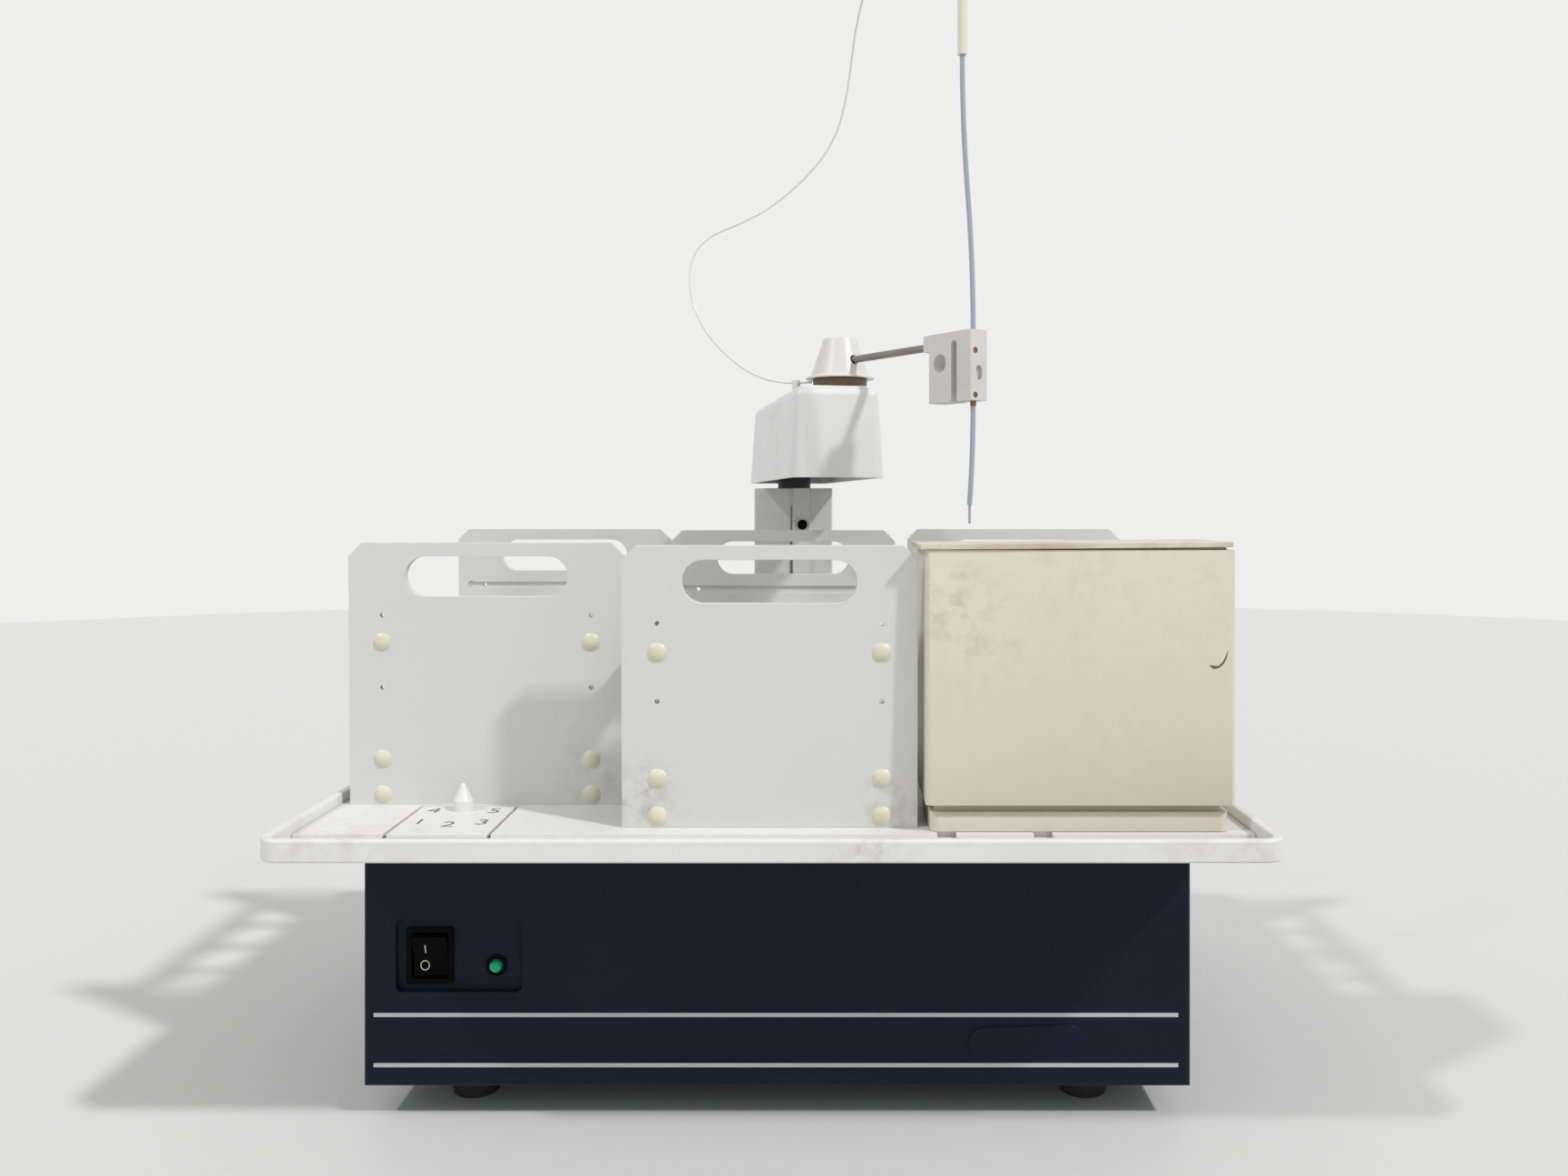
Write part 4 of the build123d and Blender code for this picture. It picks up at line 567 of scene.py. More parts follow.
def stain_and_shade_group():
    """A soft-edged darker patch round one place, broken up by noise; it makes the stains, and on the racks a
    painted shadow and darker corners.
    """
    group, inside, out = new_group(
        "Stain",
        [
            ("Tone", "NodeSocketColor", (0.8, 0.8, 0.8, 1.0)),
            ("Stain tone", "NodeSocketColor", (0.4, 0.3, 0.2, 1.0)),
            ("Place", "NodeSocketVector", (0.0, 0.0, 0.0)),
            ("Reach", "NodeSocketFloat", 0.03),
            ("Amount", "NodeSocketFloat", 0.5),
        ],
        [("Colour", "NodeSocketColor"), ("Mask", "NodeSocketFloat")],
    )
    where = group.nodes.new("ShaderNodeTexCoord").outputs["Object"]
    span = group.nodes.new("ShaderNodeVectorMath")
    span.operation = "DISTANCE"
    group.links.new(where, span.inputs[0])
    group.links.new(inside.outputs["Place"], span.inputs[1])
    share = math_node(group, "DIVIDE", span.outputs["Value"], inside.outputs["Reach"])
    near = math_node(group, "SUBTRACT", 1.0, share)
    core = range_node(group, near, 0.0, STAIN_AND_SHADE_CORE, 1.0)
    broken = math_node(group, "MULTIPLY", core, noise_range(group, STAIN_AND_SHADE_EDGES, 1.0))
    mask = math_node(group, "MULTIPLY", broken, inside.outputs["Amount"])
    stained = mix_node(group, mask, inside.outputs["Tone"], inside.outputs["Stain tone"])
    group.links.new(stained, out.inputs["Colour"])
    group.links.new(mask, out.inputs["Mask"])
    return group


GROUPS = {}


def group_node(tree, name, maker):
    """A node of a shared group, which is built the first time it is asked for."""
    if name not in GROUPS:
        GROUPS[name] = maker()
    node = tree.nodes.new("ShaderNodeGroup")
    node.node_tree = GROUPS[name]
    return node


MATERIALS = {}


def finish(name):
    """The material of one finish, built once from its row of values."""
    if name in MATERIALS:
        return MATERIALS[name]
    values = FINISHES[name]
    material = bpy.data.materials.new(name)
    material.use_nodes = True
    tree = material.node_tree
    shader = tree.nodes["Principled BSDF"]
    tone = group_node(tree, "Worn tone", worn_tone_group)
    tone.inputs["Tone"].default_value = (*values["tone"], 1.0)
    tone.inputs["Aged tone"].default_value = (*values["aged"], 1.0)
    tone.inputs["Patch amount"].default_value = values["patch"]
    tone.inputs["Speck amount"].default_value = values["speck"]
    colour = tone.outputs["Colour"]
    # Stains, and on the racks a painted shadow and darker corners
    for place, reach, amount, dark_tone in STAINS_AND_SHADE.get(name, []):
        mark = group_node(tree, "Stain", stain_and_shade_group)
        mark.inputs["Stain tone"].default_value = (*dark_tone, 1.0)
        mark.inputs["Place"].default_value = place
        mark.inputs["Reach"].default_value = reach
        mark.inputs["Amount"].default_value = amount
        tree.links.new(colour, mark.inputs["Tone"])
        colour = mark.outputs["Colour"]
    tree.links.new(colour, shader.inputs["Base Color"])
    grain = group_node(tree, "Fine grain", fine_grain_group)
    grain.inputs["Roughness"].default_value = values["rough"]
    grain.inputs["Grain size"].default_value = values["grain"]
    tree.links.new(grain.outputs["Roughness"], shader.inputs["Roughness"])
    bump = tree.nodes.new("ShaderNodeBump")
    bump.inputs["Strength"].default_value = values["depth"]
    bump.inputs["Distance"].default_value = BUMP_DISTANCE
    tree.links.new(grain.outputs["Height"], bump.inputs["Height"])
    tree.links.new(bump.outputs["Normal"], shader.inputs["Normal"])
    shader.inputs["Metallic"].default_value = values["metal"]
    shader.inputs["IOR"].default_value = values["ior"]
    MATERIALS[name] = material
    return material


# Mesh helpers


def rounded_normals(mesh, angle=32.0):
    """Smooth shading with sharp edges kept where faces turn by more than the angle."""
    work = bmesh.new()
    work.from_mesh(mesh)
    limit = math.radians(angle)
    for face in work.faces:
        face.smooth = True
    for edge in work.edges:
        edge.smooth = edge.calc_face_angle(math.pi) < limit
    work.to_mesh(mesh)
    work.free()


def new_object(name, data):
    """An object of the scene, made from a datablock."""
    obj = bpy.data.objects.new(name, data)
    bpy.context.scene.collection.objects.link(obj)
    return obj


def baked_mesh(obj):
    """The plain mesh of an object as it is evaluated; the object itself is removed."""
    bpy.context.view_layer.update()
    graph = bpy.context.evaluated_depsgraph_get()
    mesh = bpy.data.meshes.new_from_object(obj.evaluated_get(graph))
    bpy.data.objects.remove(obj)
    return mesh


def add_piece(name, mesh, body, finish_name, nodes=()):
    """A finished piece in the row frame, riding on a body; with no body it is left free."""
    obj = new_object(name, mesh)
    mesh.materials.clear()
    mesh.materials.append(finish(finish_name))
    if body:
        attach(obj, body)
    if nodes:
        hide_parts(*nodes)
    return obj


def mesh_of(name, work, place=None):
    """A mesh datablock from a bmesh, moved to its place in the row frame."""
    bmesh.ops.recalc_face_normals(work, faces=work.faces)
    if place:
        work.transform(place)
    mesh = bpy.data.meshes.new(name)
    work.to_mesh(mesh)
    work.free()
    return mesh


def take_in(work, part):
    """Adds one bmesh to another and frees it."""
    mesh = bpy.data.meshes.new("part")
    part.to_mesh(mesh)
    part.free()
    work.from_mesh(mesh)
    bpy.data.meshes.remove(mesh)


def prism(outline, depth, bevel=0.0, holes=()):
    """A bmesh prism: the outline lies in the XZ plane and the depth runs back along +Y."""
    work = bmesh.new()
    rings = [[work.verts.new((x, 0.0, z)) for x, z in loop] for loop in (outline, *holes)]
    edges = []
    for ring in rings:
        edges += [work.edges.new((a, b)) for a, b in zip(ring, ring[1:] + ring[:1])]
    bmesh.ops.triangle_fill(work, use_beauty=True, use_dissolve=False, edges=edges)
    front = list(work.faces)
    grown = bmesh.ops.extrude_face_region(work, geom=front)
    moved = [item for item in grown["geom"] if isinstance(item, bmesh.types.BMVert)]
    bmesh.ops.translate(work, verts=moved, vec=(0.0, depth, 0.0))
    bmesh.ops.recalc_face_normals(work, faces=work.faces)
    if bevel:
        near = []
        for edge in work.edges:
            in_front = all(abs(vert.co.y) < ON_FRONT for vert in edge.verts)
            if in_front and edge.calc_face_angle(0.0) > CORNER:
                near.append(edge)
        bmesh.ops.bevel(work, geom=near, offset=bevel, segments=3, affect="EDGES", profile=0.5)
    return work


def turns_of(steps, offset=0.0):
    """Evenly spaced angles of one full turn."""
    return [2 * math.pi * i / steps + offset for i in range(steps)]


def box_outline(left, right, low, high):
    """A rectangle's outline."""
    return [(left, low), (right, low), (right, high), (left, high)]


def pill_outline(width, height, steps=14):
    """A stadium outline round the origin."""
    radius = height / 2
    reach = width / 2 - radius
    points = []
    for side, start in ((1, -90), (-1, 90)):
        for i in range(steps + 1):
            turn = math.radians(start + 180 * i / steps)
            points.append((side * reach + radius * math.cos(turn), radius * math.sin(turn)))
    return points


def ring_outline(radius, steps=32, squash=1.0):
    """An ellipse outline round the origin."""
    return [(radius * squash * math.cos(turn), radius * math.sin(turn)) for turn in turns_of(steps)]


def softened_copy(node, radius):
    """A merged copy of a CAD node with its sharp edges rounded, standing for the node."""
    source = NODES[node]
    work = bmesh.new()
    work.from_mesh(source.data)
    bmesh.ops.remove_doubles(work, verts=work.verts, dist=SAME_PLACE)
    bmesh.ops.dissolve_limit(work, angle_limit=ALMOST_FLAT, verts=work.verts, edges=work.edges)
    weight = work.edges.layers.float.new("bevel_weight_edge")
    for edge in work.edges:
        edge[weight] = float(edge.calc_face_angle(0.0) > SHARP and edge.calc_length() > SHORTEST_EDGE)
    mesh = bpy.data.meshes.new(node + "_soft")
    work.to_mesh(mesh)
    work.free()
    rounded_normals(mesh)
    obj = new_object(node + "_soft", mesh)
    mesh.materials.clear()
    mesh.materials.append(finish(NODE_FINISH[node]))
    bevel = obj.modifiers.new("soft edges", "BEVEL")
    bevel.width = radius * MM
    bevel.segments = 2
    bevel.limit_method = "WEIGHT"
    bevel.use_clamp_overlap = True
    bevel.harden_normals = True
    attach(obj, source["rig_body"])
    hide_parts(node)
    return obj


def front_of(node, x, z):
    """The point and normal where a line from the front at X and Z in millimetres meets a node."""
    mesh = NODES[node].data
    tree = BVHTree.FromPolygons([v.co for v in mesh.vertices], [p.vertices for p in mesh.polygons])
    point, normal, _, _ = tree.ray_cast(Vector((x * MM, -1.0, z * MM)), Vector((0.0, 1.0, 0.0)))
    if point is None:
        raise ValueError(f"no surface of {node} at {x}, {z}")
    return point, normal if normal.y < 0 else -normal


# Operators


class AUTOSAMPLER_OT_stage(Operator):
    """Adds the camera, the lamps, the background and the floor."""

    bl_idname = "autosampler.stage"
    bl_label = "Stage"

    def execute(self, context):
        settings = context.scene.autosampler_stage
        scene = context.scene
        scene.view_settings.view_transform = "Standard"
        self.add_camera(scene)
        self.add_lamp("right_lamp", RIGHT_LAMP_AT, settings.right_lamp)
        self.add_lamp("left_lamp", LEFT_LAMP_AT, settings.left_lamp)
        self.add_world(scene, settings)
        self.add_floor(settings)
        return {"FINISHED"}

    def add_camera(self, scene):
        data = bpy.data.cameras.new("photo_camera")
        data.sensor_width = SENSOR_MM
        data.sensor_fit = "HORIZONTAL"
        data.lens = FOCAL_PX * SENSOR_MM / PHOTO_W
        data.shift_x = (PHOTO_W / 2 - VANISH_PX[0]) / PHOTO_W
        data.shift_y = (VANISH_PX[1] - PHOTO_H / 2) / PHOTO_W
        data.clip_start = NEAREST_SEEN
        camera = new_object("photo_camera", data)
        camera.location = CAMERA_AT
        camera.rotation_euler = (math.radians(90), 0.0, 0.0)
        scene.camera = camera

    def add_lamp(self, name, place, strength):
        data = bpy.data.lights.new(name, "SUN")
        data.angle = math.radians(LAMP_SPREAD)
        data.energy = strength
        lamp = new_object(name, data)
        lamp.location = place
        aim = Vector(LAMP_AIM) - Vector(place)
        lamp.rotation_euler = aim.to_track_quat("-Z", "Y").to_euler()

    def add_world(self, scene, settings):
        world = bpy.data.worlds.new("studio")
        world.use_nodes = True
        tree = world.node_tree
        tree.nodes.clear()
        out = tree.nodes.new("ShaderNodeOutputWorld")
        seen = tree.nodes.new("ShaderNodeBackground")
        ambient = tree.nodes.new("ShaderNodeBackground")
        pale = settings.background
        seen.inputs["Color"].default_value = (pale, pale, pale * WARMTH, 1.0)
        ambient.inputs["Color"].default_value = (1.0, 1.0, WARMTH, 1.0)
        ambient.inputs["Strength"].default_value = settings.ambient
        path = tree.nodes.new("ShaderNodeLightPath")
        direct = math_node(tree, "MAXIMUM", path.outputs["Is Camera Ray"], path.outputs["Is Glossy Ray"])
        either = math_node(tree, "MAXIMUM", direct, path.outputs["Is Transmission Ray"])
        mix = tree.nodes.new("ShaderNodeMixShader")
        tree.links.new(either, mix.inputs[0])
        tree.links.new(ambient.outputs[0], mix.inputs[1])
        tree.links.new(seen.outputs[0], mix.inputs[2])
        tree.links.new(mix.outputs[0], out.inputs["Surface"])
        scene.world = world

    def add_floor(self, settings):
        work = bmesh.new()
        bmesh.ops.create_circle(work, cap_ends=True, segments=FLOOR_SIDES, radius=FLOOR_RADIUS)
        mesh = bpy.data.meshes.new("floor")
        work.to_mesh(mesh)
        work.free()
        floor = new_object("floor", mesh)
        material = bpy.data.materials.new("floor")
        material.use_nodes = True
        shader = material.node_tree.nodes["Principled BSDF"]
        shader.inputs["Base Color"].default_value = (*settings.floor_tone, 1.0)
        shader.inputs["Roughness"].default_value = FLOOR_ROUGHNESS
        mesh.materials.append(material)


class AUTOSAMPLER_OT_capillary(Operator):
    """Adds the capillary, a thin tube along its own smooth route."""

    bl_idname = "autosampler.capillary"
    bl_label = "Capillary"

    def execute(self, context):
        settings = context.scene.autosampler_capillary
        path = [v.co.copy() for v in self.route_mesh("capillary_route", 0.0).vertices]
        tube = self.route_mesh("capillary_tube", settings.diameter / 2)
        for polygon in tube.polygons:
            polygon.use_smooth = True
        obj = add_piece("capillary_tube", tube, None, "capillary_clear", nodes=("capillary",))
        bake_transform(obj)
        return {"FINISHED"}

    def route_mesh(self, name, radius):
        """The route's NURBS spline as a mesh: a bare line, or a tube of the given radius."""
        curve = bpy.data.curves.new(name, "CURVE")
        curve.dimensions = "3D"
        curve.resolution_u = ROUTE_STEPS
        spline = curve.splines.new("NURBS")
        spline.points.add(len(CAPILLARY_ROUTE) - 1)
        for point, place in zip(spline.points, CAPILLARY_ROUTE):
            point.co = (*place, 1.0)
        spline.order_u = 3
        spline.use_endpoint_u = True
        curve.bevel_depth = radius
        curve.bevel_resolution = TUBE_ROUNDNESS
        curve.use_fill_caps = radius > 0
        return baked_mesh(new_object(name, curve))


class AUTOSAMPLER_OT_finishes(Operator):
    """Gives every CAD node its finish."""

    bl_idname = "autosampler.finishes"
    bl_label = "Finishes"

    def execute(self, context):
        for node, obj in NODES.items():
            material = finish(NODE_FINISH[node])
            for slot in obj.material_slots:
                slot.material = material
        return {"FINISHED"}


class AUTOSAMPLER_OT_soft_edges(Operator):
    """Replaces the sharp-edged plates, covers and blocks with softened copies."""

    bl_idname = "autosampler.soft_edges"
    bl_label = "Soft edges"

    def execute(self, context):
        for node, radius in SOFT_EDGES.items():
            softened_copy(node, radius)
        return {"FINISHED"}


class AUTOSAMPLER_OT_panel_marks(Operator):
    """Adds the two pale stripes and the blank badge to the front panel."""

    bl_idname = "autosampler.panel_marks"
    bl_label = "Panel marks"

    def execute(self, context):
        settings = context.scene.autosampler_panel
        proud = settings.stripe_proud
        left = (PANEL_LEFT + STRIPE_ENDS[0]) * MM
        right = (PANEL_RIGHT - STRIPE_ENDS[1]) * MM
        half = settings.stripe_width / 2
        for i, level in enumerate(STRIPE_LEVELS):
            work = prism(box_outline(left, right, -half, half), proud * 2)
            place = Matrix.Translation((0.0, PANEL_Y * MM - proud, level * MM))
            mesh = mesh_of("panel_stripe", work, place)
            add_piece(f"panel_stripe_{i + 1}", mesh, "base", "stripe_grey")
        turn = Matrix.Rotation(math.radians(-BADGE_TURN), 4, "Y")
        middle = (BADGE_AT[0] * MM, PANEL_Y * MM, BADGE_AT[1] * MM)
        for name, grow, rise, tone in BADGE_PARTS:
            outline = pill_outline(settings.badge_width + grow, settings.badge_height + grow)
            work = prism(outline, rise + BADGE_SUNK, bevel=BADGE_BEVEL)
            place = Matrix.Translation((middle[0], middle[1] - rise, middle[2])) @ turn
            mesh = mesh_of(name, work, place)
            rounded_normals(mesh)
            add_piece(name, mesh, "base", tone)
        return {"FINISHED"}


class AUTOSAMPLER_OT_switch_marks(Operator):
    """Adds the I and O on the rocker and the faceted lamp lens."""

    bl_idname = "autosampler.switch_marks"
    bl_label = "Switch and lamp"

    def execute(self, context):
        bar = box_outline(-BAR_HALF_W, BAR_HALF_W, -BAR_HALF_H, BAR_HALF_H)
        self.add_mark("mark_on", prism(bar, MARK_T), MARK_ON)
        outer, inner = [ring_outline(radius, squash=squash) for radius, squash in (RING_OUTER, RING_INNER)]
        self.add_mark("mark_off", prism(outer, MARK_T, holes=(inner,)), MARK_OFF)
        self.add_lens()
        return {"FINISHED"}

    def add_mark(self, name, work, at):
        """A mark laid on the rocker's face at a place in X and Z."""
        point, normal = front_of("rocker", *at)
        inward = -normal
        across = (Vector((1.0, 0.0, 0.0)) - inward * inward.x).normalized()
        turn = Matrix((across, inward, across.cross(inward))).transposed().to_4x4()
        place = Matrix.Translation(point + normal * MARK_T * MARK_PROUD) @ turn
        add_piece(name, mesh_of(name, work, place), "rocker_switch", "mark_white")

    def add_lens(self):
        """A lens with a faceted crown, which stands for the plain one."""
        low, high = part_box("lamp_lens")
        radius = LENS_R * MM
        rows = [(y, radius * LENS_BARREL) for y in (high[1], LAMP_MOUTH_Y * MM)]
        rows += [(low[1] + radius * depth, radius * reach) for depth, reach in LENS_CROWN]
        work = bmesh.new()
        rings = []
        for r, (y, reach) in enumerate(rows):
            ring = []
            for turn in turns_of(LENS_SIDES, math.pi / LENS_SIDES * (r % 2)):
                x = LAMP_AT[0] * MM + reach * math.cos(turn)
                z = LAMP_AT[1] * MM + reach * math.sin(turn)
                ring.append(work.verts.new((x, y, z)))
            rings.append(ring)
        for r, (first, second) in enumerate(zip(rings, rings[1:])):
            for i in range(LENS_SIDES):
                a, b = first[i], first[(i + 1) % LENS_SIDES]
                c, d = second[i], second[(i + 1) % LENS_SIDES]
                if r % 2:
                    work.faces.new((a, b, d))
                    work.faces.new((a, d, c))
                else:
                    work.faces.new((a, b, c))
                    work.faces.new((b, d, c))
        work.faces.new(rings[0])
        work.faces.new(rings[-1])
        mesh = mesh_of("lamp_lens_faceted", work)
        add_piece("lamp_lens_faceted", mesh, "base", "green_lens", nodes=("lamp_lens",))


class AUTOSAMPLER_OT_number_plate(Operator):
    """Adds the worn digits and the dark strips on the floors of the grooves round the number plate."""

    bl_idname = "autosampler.number_plate"
    bl_label = "Number plate"

    def execute(self, context):
        settings = context.scene.autosampler_panel
        for digit, (x, back) in DIGIT_PLACES.items():
            self.add_digit(digit, x, TRAY_FRONT + back, settings.digit_height)
        half = PLATE_W / 2
        depth = PLATE_BACK - PLATE_FRONT
        # Dark strips laid on the floors of the two grooves beside the plate
        for i, side in enumerate((-1, 1)):
            x = (PLATE_X + side * (half + GROOVE_FROM_PLATE)) * MM
            work = prism(box_outline(-STRIP_HALF_W, STRIP_HALF_W, 0.0, STRIP_T), depth * MM)
            place = Matrix.Translation((x, PLATE_FRONT * MM, (DECK_TOP - GROOVE_DEEP) * MM))
            mesh = mesh_of("groove_dark_strip", work, place)
            add_piece(f"groove_dark_strip_{i + 1}", mesh, "base", "groove_dark_strip")
        return {"FINISHED"}

    def add_digit(self, digit, x, y, height):
        """One digit lying on the plate, as a thin layer of ink."""
        name = "digit_" + digit
        curve = bpy.data.curves.new(name, "FONT")
        curve.body = digit
        curve.size = height / DIGIT_SHARE
        curve.extrude = INK_HALF_T
        curve.offset = -INK_WORN
        curve.align_x = "CENTER"
        curve.align_y = "CENTER"
        mesh = baked_mesh(new_object(name, curve))
        wider = Matrix.Diagonal((DIGIT_STRETCH, 1.0, 1.0, 1.0))
        mesh.transform(Matrix.Translation((x * MM, y * MM, DECK_TOP * MM + INK_PROUD)) @ wider)
        add_piece(name, mesh, "base", "dark_ink_and_shade")


class AUTOSAMPLER_OT_tank_scuff(Operator):
    """Adds the dark scuff on the tank's face."""

    bl_idname = "autosampler.tank_scuff"
    bl_label = "Tank scuff"

    def execute(self, context):
        left, right = [], []
        last = len(SCUFF_LINE) - 1
        for i, ((x, z), width) in enumerate(zip(SCUFF_LINE, SCUFF_WIDTHS)):
            a, b = SCUFF_LINE[max(i - 1, 0)], SCUFF_LINE[min(i + 1, last)]
            run = Vector((b[0] - a[0], b[1] - a[1])).normalized()
            left.append(((x - run.y * width / 2) * MM, (z + run.x * width / 2) * MM))
            right.append(((x + run.y * width / 2) * MM, (z - run.x * width / 2) * MM))
        work = prism(left + right[::-1], SCUFF_T)
        place = Matrix.Translation((0.0, TANK_FRONT * MM - SCUFF_PROUD, 0.0))
        add_piece("tank_scuff", mesh_of("tank_scuff", work, place), "reservoir", "dark_ink_and_shade")
        return {"FINISHED"}


def screw_tree():
    """Geometry Nodes tree: a screw head with a cross recess on each point, realised."""
    tree = bpy.data.node_groups.new("Cover screws", "GeometryNodeTree")
    sockets = tree.interface
    sockets.new_socket("Geometry", in_out="INPUT", socket_type="NodeSocketGeometry")
    ids = {}
    sizes = (
        ("Head radius", "NodeSocketFloat", 0.003),
        ("Head height", "NodeSocketFloat", 0.0017),
        ("Sides", "NodeSocketInt", 28),
    )
    for label, kind, default in sizes:
        socket = sockets.new_socket(label, in_out="INPUT", socket_type=kind)
        socket.default_value = default
        ids[label] = socket.identifier
    material = sockets.new_socket("Finish", in_out="INPUT", socket_type="NodeSocketMaterial")
    ids["Finish"] = material.identifier
    sockets.new_socket("Geometry", in_out="OUTPUT", socket_type="NodeSocketGeometry")
    nodes, links = tree.nodes, tree.links
    inside, out = nodes.new("NodeGroupInput"), nodes.new("NodeGroupOutput")
    head = nodes.new("GeometryNodeMeshCone")
    head.fill_type = "NGON"
    links.new(inside.outputs["Sides"], head.inputs["Vertices"])
    links.new(inside.outputs["Head radius"], head.inputs["Radius Bottom"])
    taper = math_node(tree, "MULTIPLY", inside.outputs["Head radius"], SCREW_TAPER)
    links.new(taper, head.inputs["Radius Top"])
    links.new(inside.outputs["Head height"], head.inputs["Depth"])
    boolean = nodes.new("GeometryNodeMeshBoolean")
    boolean.operation = "DIFFERENCE"
    links.new(head.outputs["Mesh"], boolean.inputs["Mesh 1"])
    for turn in (0.0, math.pi / 2):
        bar = nodes.new("GeometryNodeMeshCube")
        size = nodes.new("ShaderNodeCombineXYZ")
        for axis, share in zip("XYZ", RECESS_BAR):
            part = math_node(tree, "MULTIPLY", inside.outputs["Head radius"], share)
            links.new(part, size.inputs[axis])
        links.new(size.outputs[0], bar.inputs["Size"])
        move = nodes.new("GeometryNodeTransform")
        move.inputs["Rotation"].default_value = (0.0, 0.0, turn)
        lift = nodes.new("ShaderNodeCombineXYZ")
        links.new(inside.outputs["Head height"], lift.inputs["Z"])
        links.new(lift.outputs[0], move.inputs["Translation"])
        links.new(bar.outputs["Mesh"], move.inputs["Geometry"])
        links.new(move.outputs["Geometry"], boolean.inputs["Mesh 2"])
    place = nodes.new("GeometryNodeInstanceOnPoints")
    links.new(inside.outputs["Geometry"], place.inputs["Points"])
    links.new(boolean.outputs["Mesh"], place.inputs["Instance"])
    normal = nodes.new("GeometryNodeInputNormal")
    align = nodes.new("FunctionNodeAlignRotationToVector")
    align.axis = "Z"
    links.new(normal.outputs[0], align.inputs["Vector"])
    links.new(align.outputs[0], place.inputs["Rotation"])
    real = nodes.new("GeometryNodeRealizeInstances")
    links.new(place.outputs["Instances"], real.inputs["Geometry"])
    paint = nodes.new("GeometryNodeSetMaterial")
    links.new(real.outputs["Geometry"], paint.inputs["Geometry"])
    links.new(inside.outputs["Finish"], paint.inputs["Material"])
    links.new(paint.outputs["Geometry"], out.inputs["Geometry"])
    return tree, ids


class AUTOSAMPLER_OT_fasteners(Operator):
    """Adds the cover screws of the rear panel and the sides."""

    bl_idname = "autosampler.fasteners"
    bl_label = "Cover screws"

    def execute(self, context):
        settings = context.scene.autosampler_fittings
        tree, ids = screw_tree()
        rear = [(x, REAR_SCREWS_Y, z) for x in REAR_SCREWS_X for z in REAR_SCREWS_Z]
        self.add_screws("rear_screws", tree, ids, settings, rear, (0.0, 1.0, 0.0))
        for name, side in (("left_screws", -1), ("right_screws", 1)):
            places = [(side * SIDE_SCREWS_X, y, SIDE_SCREWS_Z) for y in SIDE_SCREWS_Y]
            self.add_screws(name, tree, ids, settings, places, (side, 0.0, 0.0))
        return {"FINISHED"}

    def add_screws(self, name, tree, ids, settings, places, normal):
        """Screws at the places, facing along the normal."""
        seeds = bmesh.new()
        for place in places:
            seeds.verts.new(Vector(place))
        mesh = bpy.data.meshes.new(name)
        seeds.to_mesh(mesh)
        seeds.free()
        turn = Vector(normal).to_track_quat("Z", "Y").to_matrix().to_4x4()
        mesh.transform(turn.inverted())
        obj = new_object(name, mesh)
        modifier = obj.modifiers.new("screws", "NODES")
        modifier.node_group = tree
        modifier[ids["Head radius"]] = settings.screw_radius
        modifier[ids["Head height"]] = settings.screw_height
        modifier[ids["Sides"]] = settings.screw_sides
        modifier[ids["Finish"]] = finish("motor_black")
        baked = baked_mesh(obj)
        baked.transform(turn)
        add_piece(name, baked, "base", "motor_black")


def at_clamp(level, depth):
    """A move to the holder's end face, before the arm's own turn: height and depth in millimetres."""
    return Matrix.Translation((CLAMP_SIDE * MM, (depth - HOLDER_END) * MM, level * MM))


class AUTOSAMPLER_OT_arm_fittings(Operator):
    """Adds the clamp screws with painted shade for their driver slots, and the brass ferrule under the probe
    holder.
    """

    bl_idname = "autosampler.arm_fittings"
    bl_label = "Arm fittings"

    def execute(self, context):
        hub = Matrix.Translation((HUB_AXIS[0] * MM, HUB_AXIS[1] * MM, 0.0))
        place = hub @ Matrix.Rotation(math.radians(ARM_TURN), 4, "Z")
        work = bmesh.new()
        for level in CLAMP_LEVELS:
            outline = ring_outline(CLAMP_SCREW_R, FITTING_SIDES)
            screw = prism(outline, CLAMP_SCREW_T, bevel=CLAMP_SCREW_BEVEL)
            screw.transform(at_clamp(level, CLAMP_SCREW_DEEP))
            take_in(work, screw)
        mesh = mesh_of("clamp_screw_heads", work, place)
        rounded_normals(mesh)
        add_piece("clamp_screw_heads", mesh, "arm", "brass", nodes=("clamp_screws",))
        self.add_slot_shade(place)
        self.add_ferrule(place)
        return {"FINISHED"}

    def add_slot_shade(self, place):
        """Dark bars across the two clamp screws: painted shade standing for their driver slots."""
        work = bmesh.new()
        for level in CLAMP_LEVELS:
            bar = prism(box_outline(-SLOT_HALF_W, SLOT_HALF_W, -SLOT_HALF_H, SLOT_HALF_H), SLOT_T)
            bar.transform(at_clamp(level, SLOT_DEEP) @ Matrix.Rotation(SLOT_TURN, 4, "Y"))
            take_in(work, bar)
        add_piece("clamp_screw_slot_shade", mesh_of("clamp_screw_slot_shade", work, place), "arm", "dark_ink_and_shade")

    def add_ferrule(self, place):
        """A short brass ferrule round the probe, against the holder's foot."""
        outer, inner, height = FERRULE_OUTER, FERRULE_INNER, FERRULE_H
        work = bmesh.new()
        rows = [(inner, 0.0), (outer, 0.0), (outer, -height * 0.8), (outer * 0.9, -height), (inner, -height)]
        rings = []
        for reach, drop in rows:
            ring = []
            for turn in turns_of(FITTING_SIDES):
                y = -PROBE_OUT * MM + reach * math.sin(turn)
                ring.append(work.verts.new((reach * math.cos(turn), y, HOLDER_FOOT * MM + drop)))
            rings.append(ring)
        for first, second in zip(rings, rings[1:] + rings[:1]):
            for i in range(FITTING_SIDES):
                after = (i + 1) % FITTING_SIDES
                work.faces.new((first[i], first[after], second[after], second[i]))
        mesh = mesh_of("probe_ferrule", work, place)
        rounded_normals(mesh)
        add_piece("probe_ferrule", mesh, "arm", "brass")


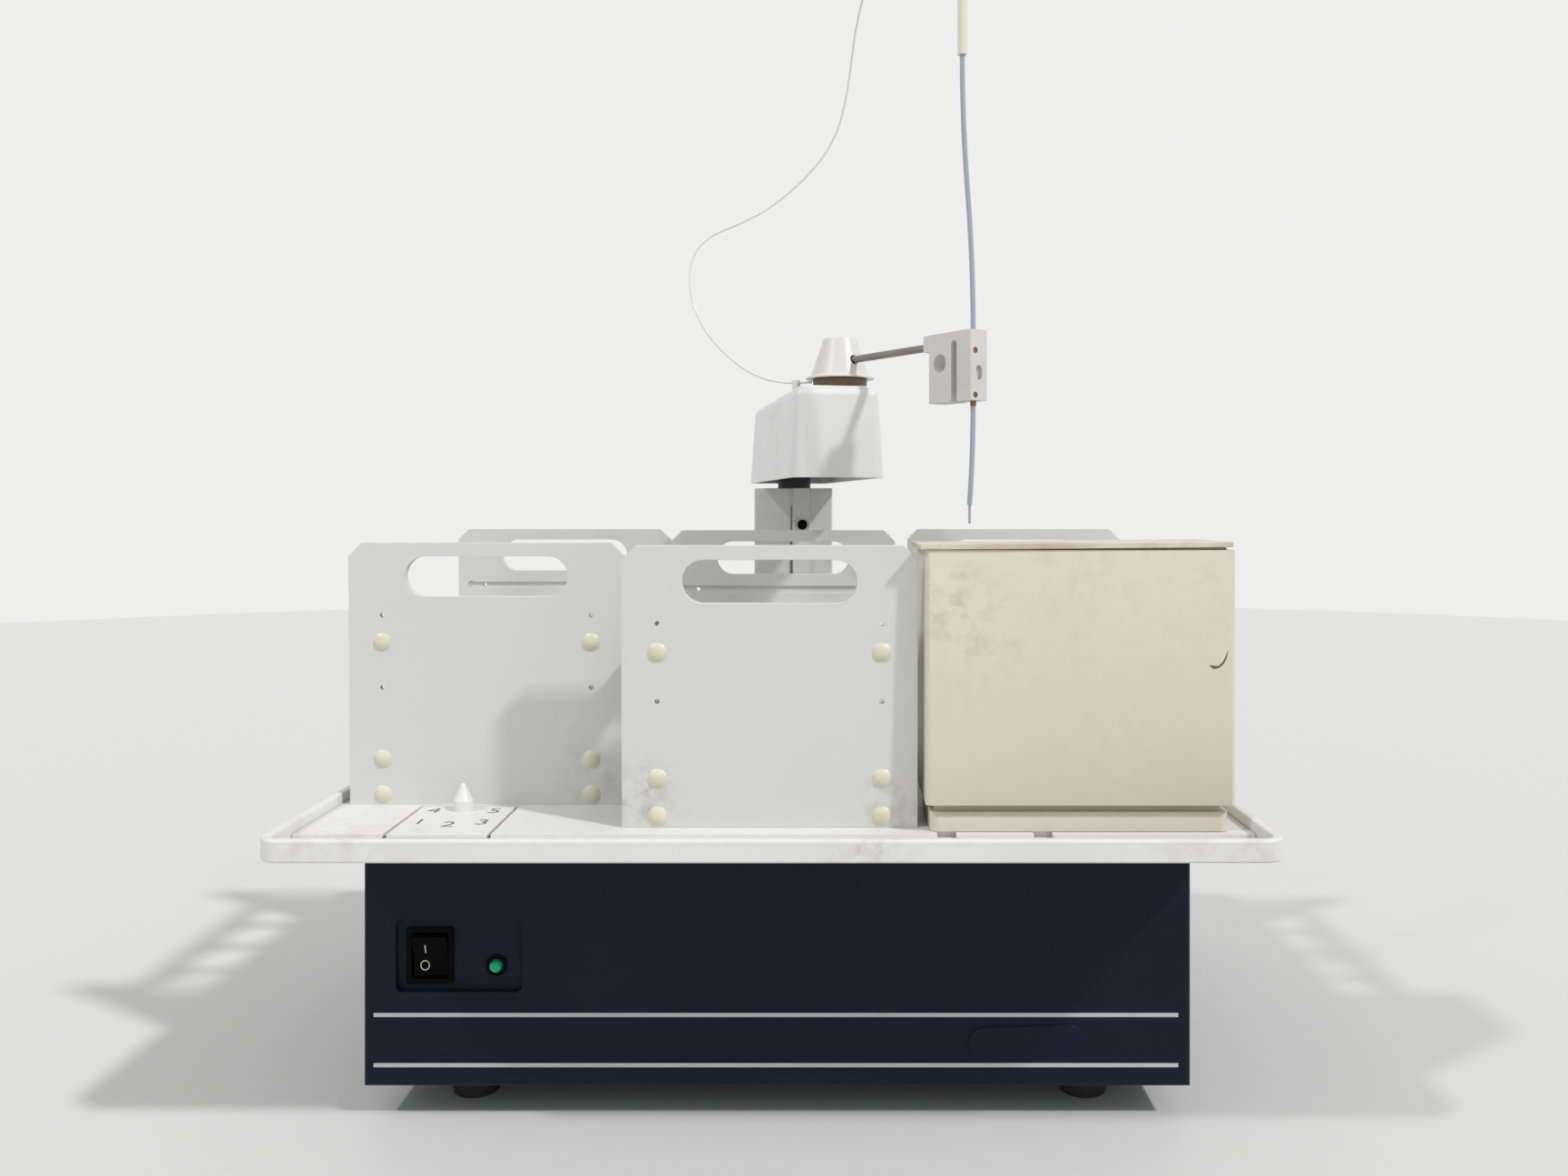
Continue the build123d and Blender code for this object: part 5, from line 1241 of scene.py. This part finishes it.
class AUTOSAMPLER_PT_sidebar(Panel):
    """Lists the pieces that the add-on makes."""

    bl_idname = "AUTOSAMPLER_PT_sidebar"
    bl_label = "Autosampler"
    bl_space_type = "VIEW_3D"
    bl_region_type = "UI"
    bl_category = "Autosampler"

    def draw(self, context):
        for operator in OPERATORS:
            self.layout.operator(operator.bl_idname)
        for name in SETTINGS:
            settings = getattr(context.scene, name)
            for key in settings.__annotations__:
                self.layout.prop(settings, key)


SETTINGS = {
    "autosampler_stage": StageSettings,
    "autosampler_panel": PanelSettings,
    "autosampler_fittings": FittingSettings,
    "autosampler_capillary": CapillarySettings,
}
OPERATORS = (
    AUTOSAMPLER_OT_stage,
    AUTOSAMPLER_OT_capillary,
    AUTOSAMPLER_OT_finishes,
    AUTOSAMPLER_OT_soft_edges,
    AUTOSAMPLER_OT_panel_marks,
    AUTOSAMPLER_OT_switch_marks,
    AUTOSAMPLER_OT_number_plate,
    AUTOSAMPLER_OT_tank_scuff,
    AUTOSAMPLER_OT_fasteners,
    AUTOSAMPLER_OT_arm_fittings,
)


def register():
    """Registers the settings, the operators and the panel."""
    for settings in SETTINGS.values():
        bpy.utils.register_class(settings)
    for name, settings in SETTINGS.items():
        setattr(bpy.types.Scene, name, PointerProperty(type=settings))
    for operator in OPERATORS:
        bpy.utils.register_class(operator)
    bpy.utils.register_class(AUTOSAMPLER_PT_sidebar)


def unregister():
    """Removes what register added."""
    bpy.utils.unregister_class(AUTOSAMPLER_PT_sidebar)
    for operator in reversed(OPERATORS):
        bpy.utils.unregister_class(operator)
    for name in SETTINGS:
        delattr(bpy.types.Scene, name)
    for settings in reversed(list(SETTINGS.values())):
        bpy.utils.unregister_class(settings)


def main():
    """Builds the dressed scene."""
    register()
    bpy.ops.autosampler.stage()
    bpy.ops.autosampler.capillary()
    bpy.ops.autosampler.finishes()
    bpy.ops.autosampler.soft_edges()
    bpy.ops.autosampler.panel_marks()
    bpy.ops.autosampler.switch_marks()
    bpy.ops.autosampler.number_plate()
    bpy.ops.autosampler.tank_scuff()
    bpy.ops.autosampler.fasteners()
    bpy.ops.autosampler.arm_fittings()


if __name__ == "__main__":
    main()
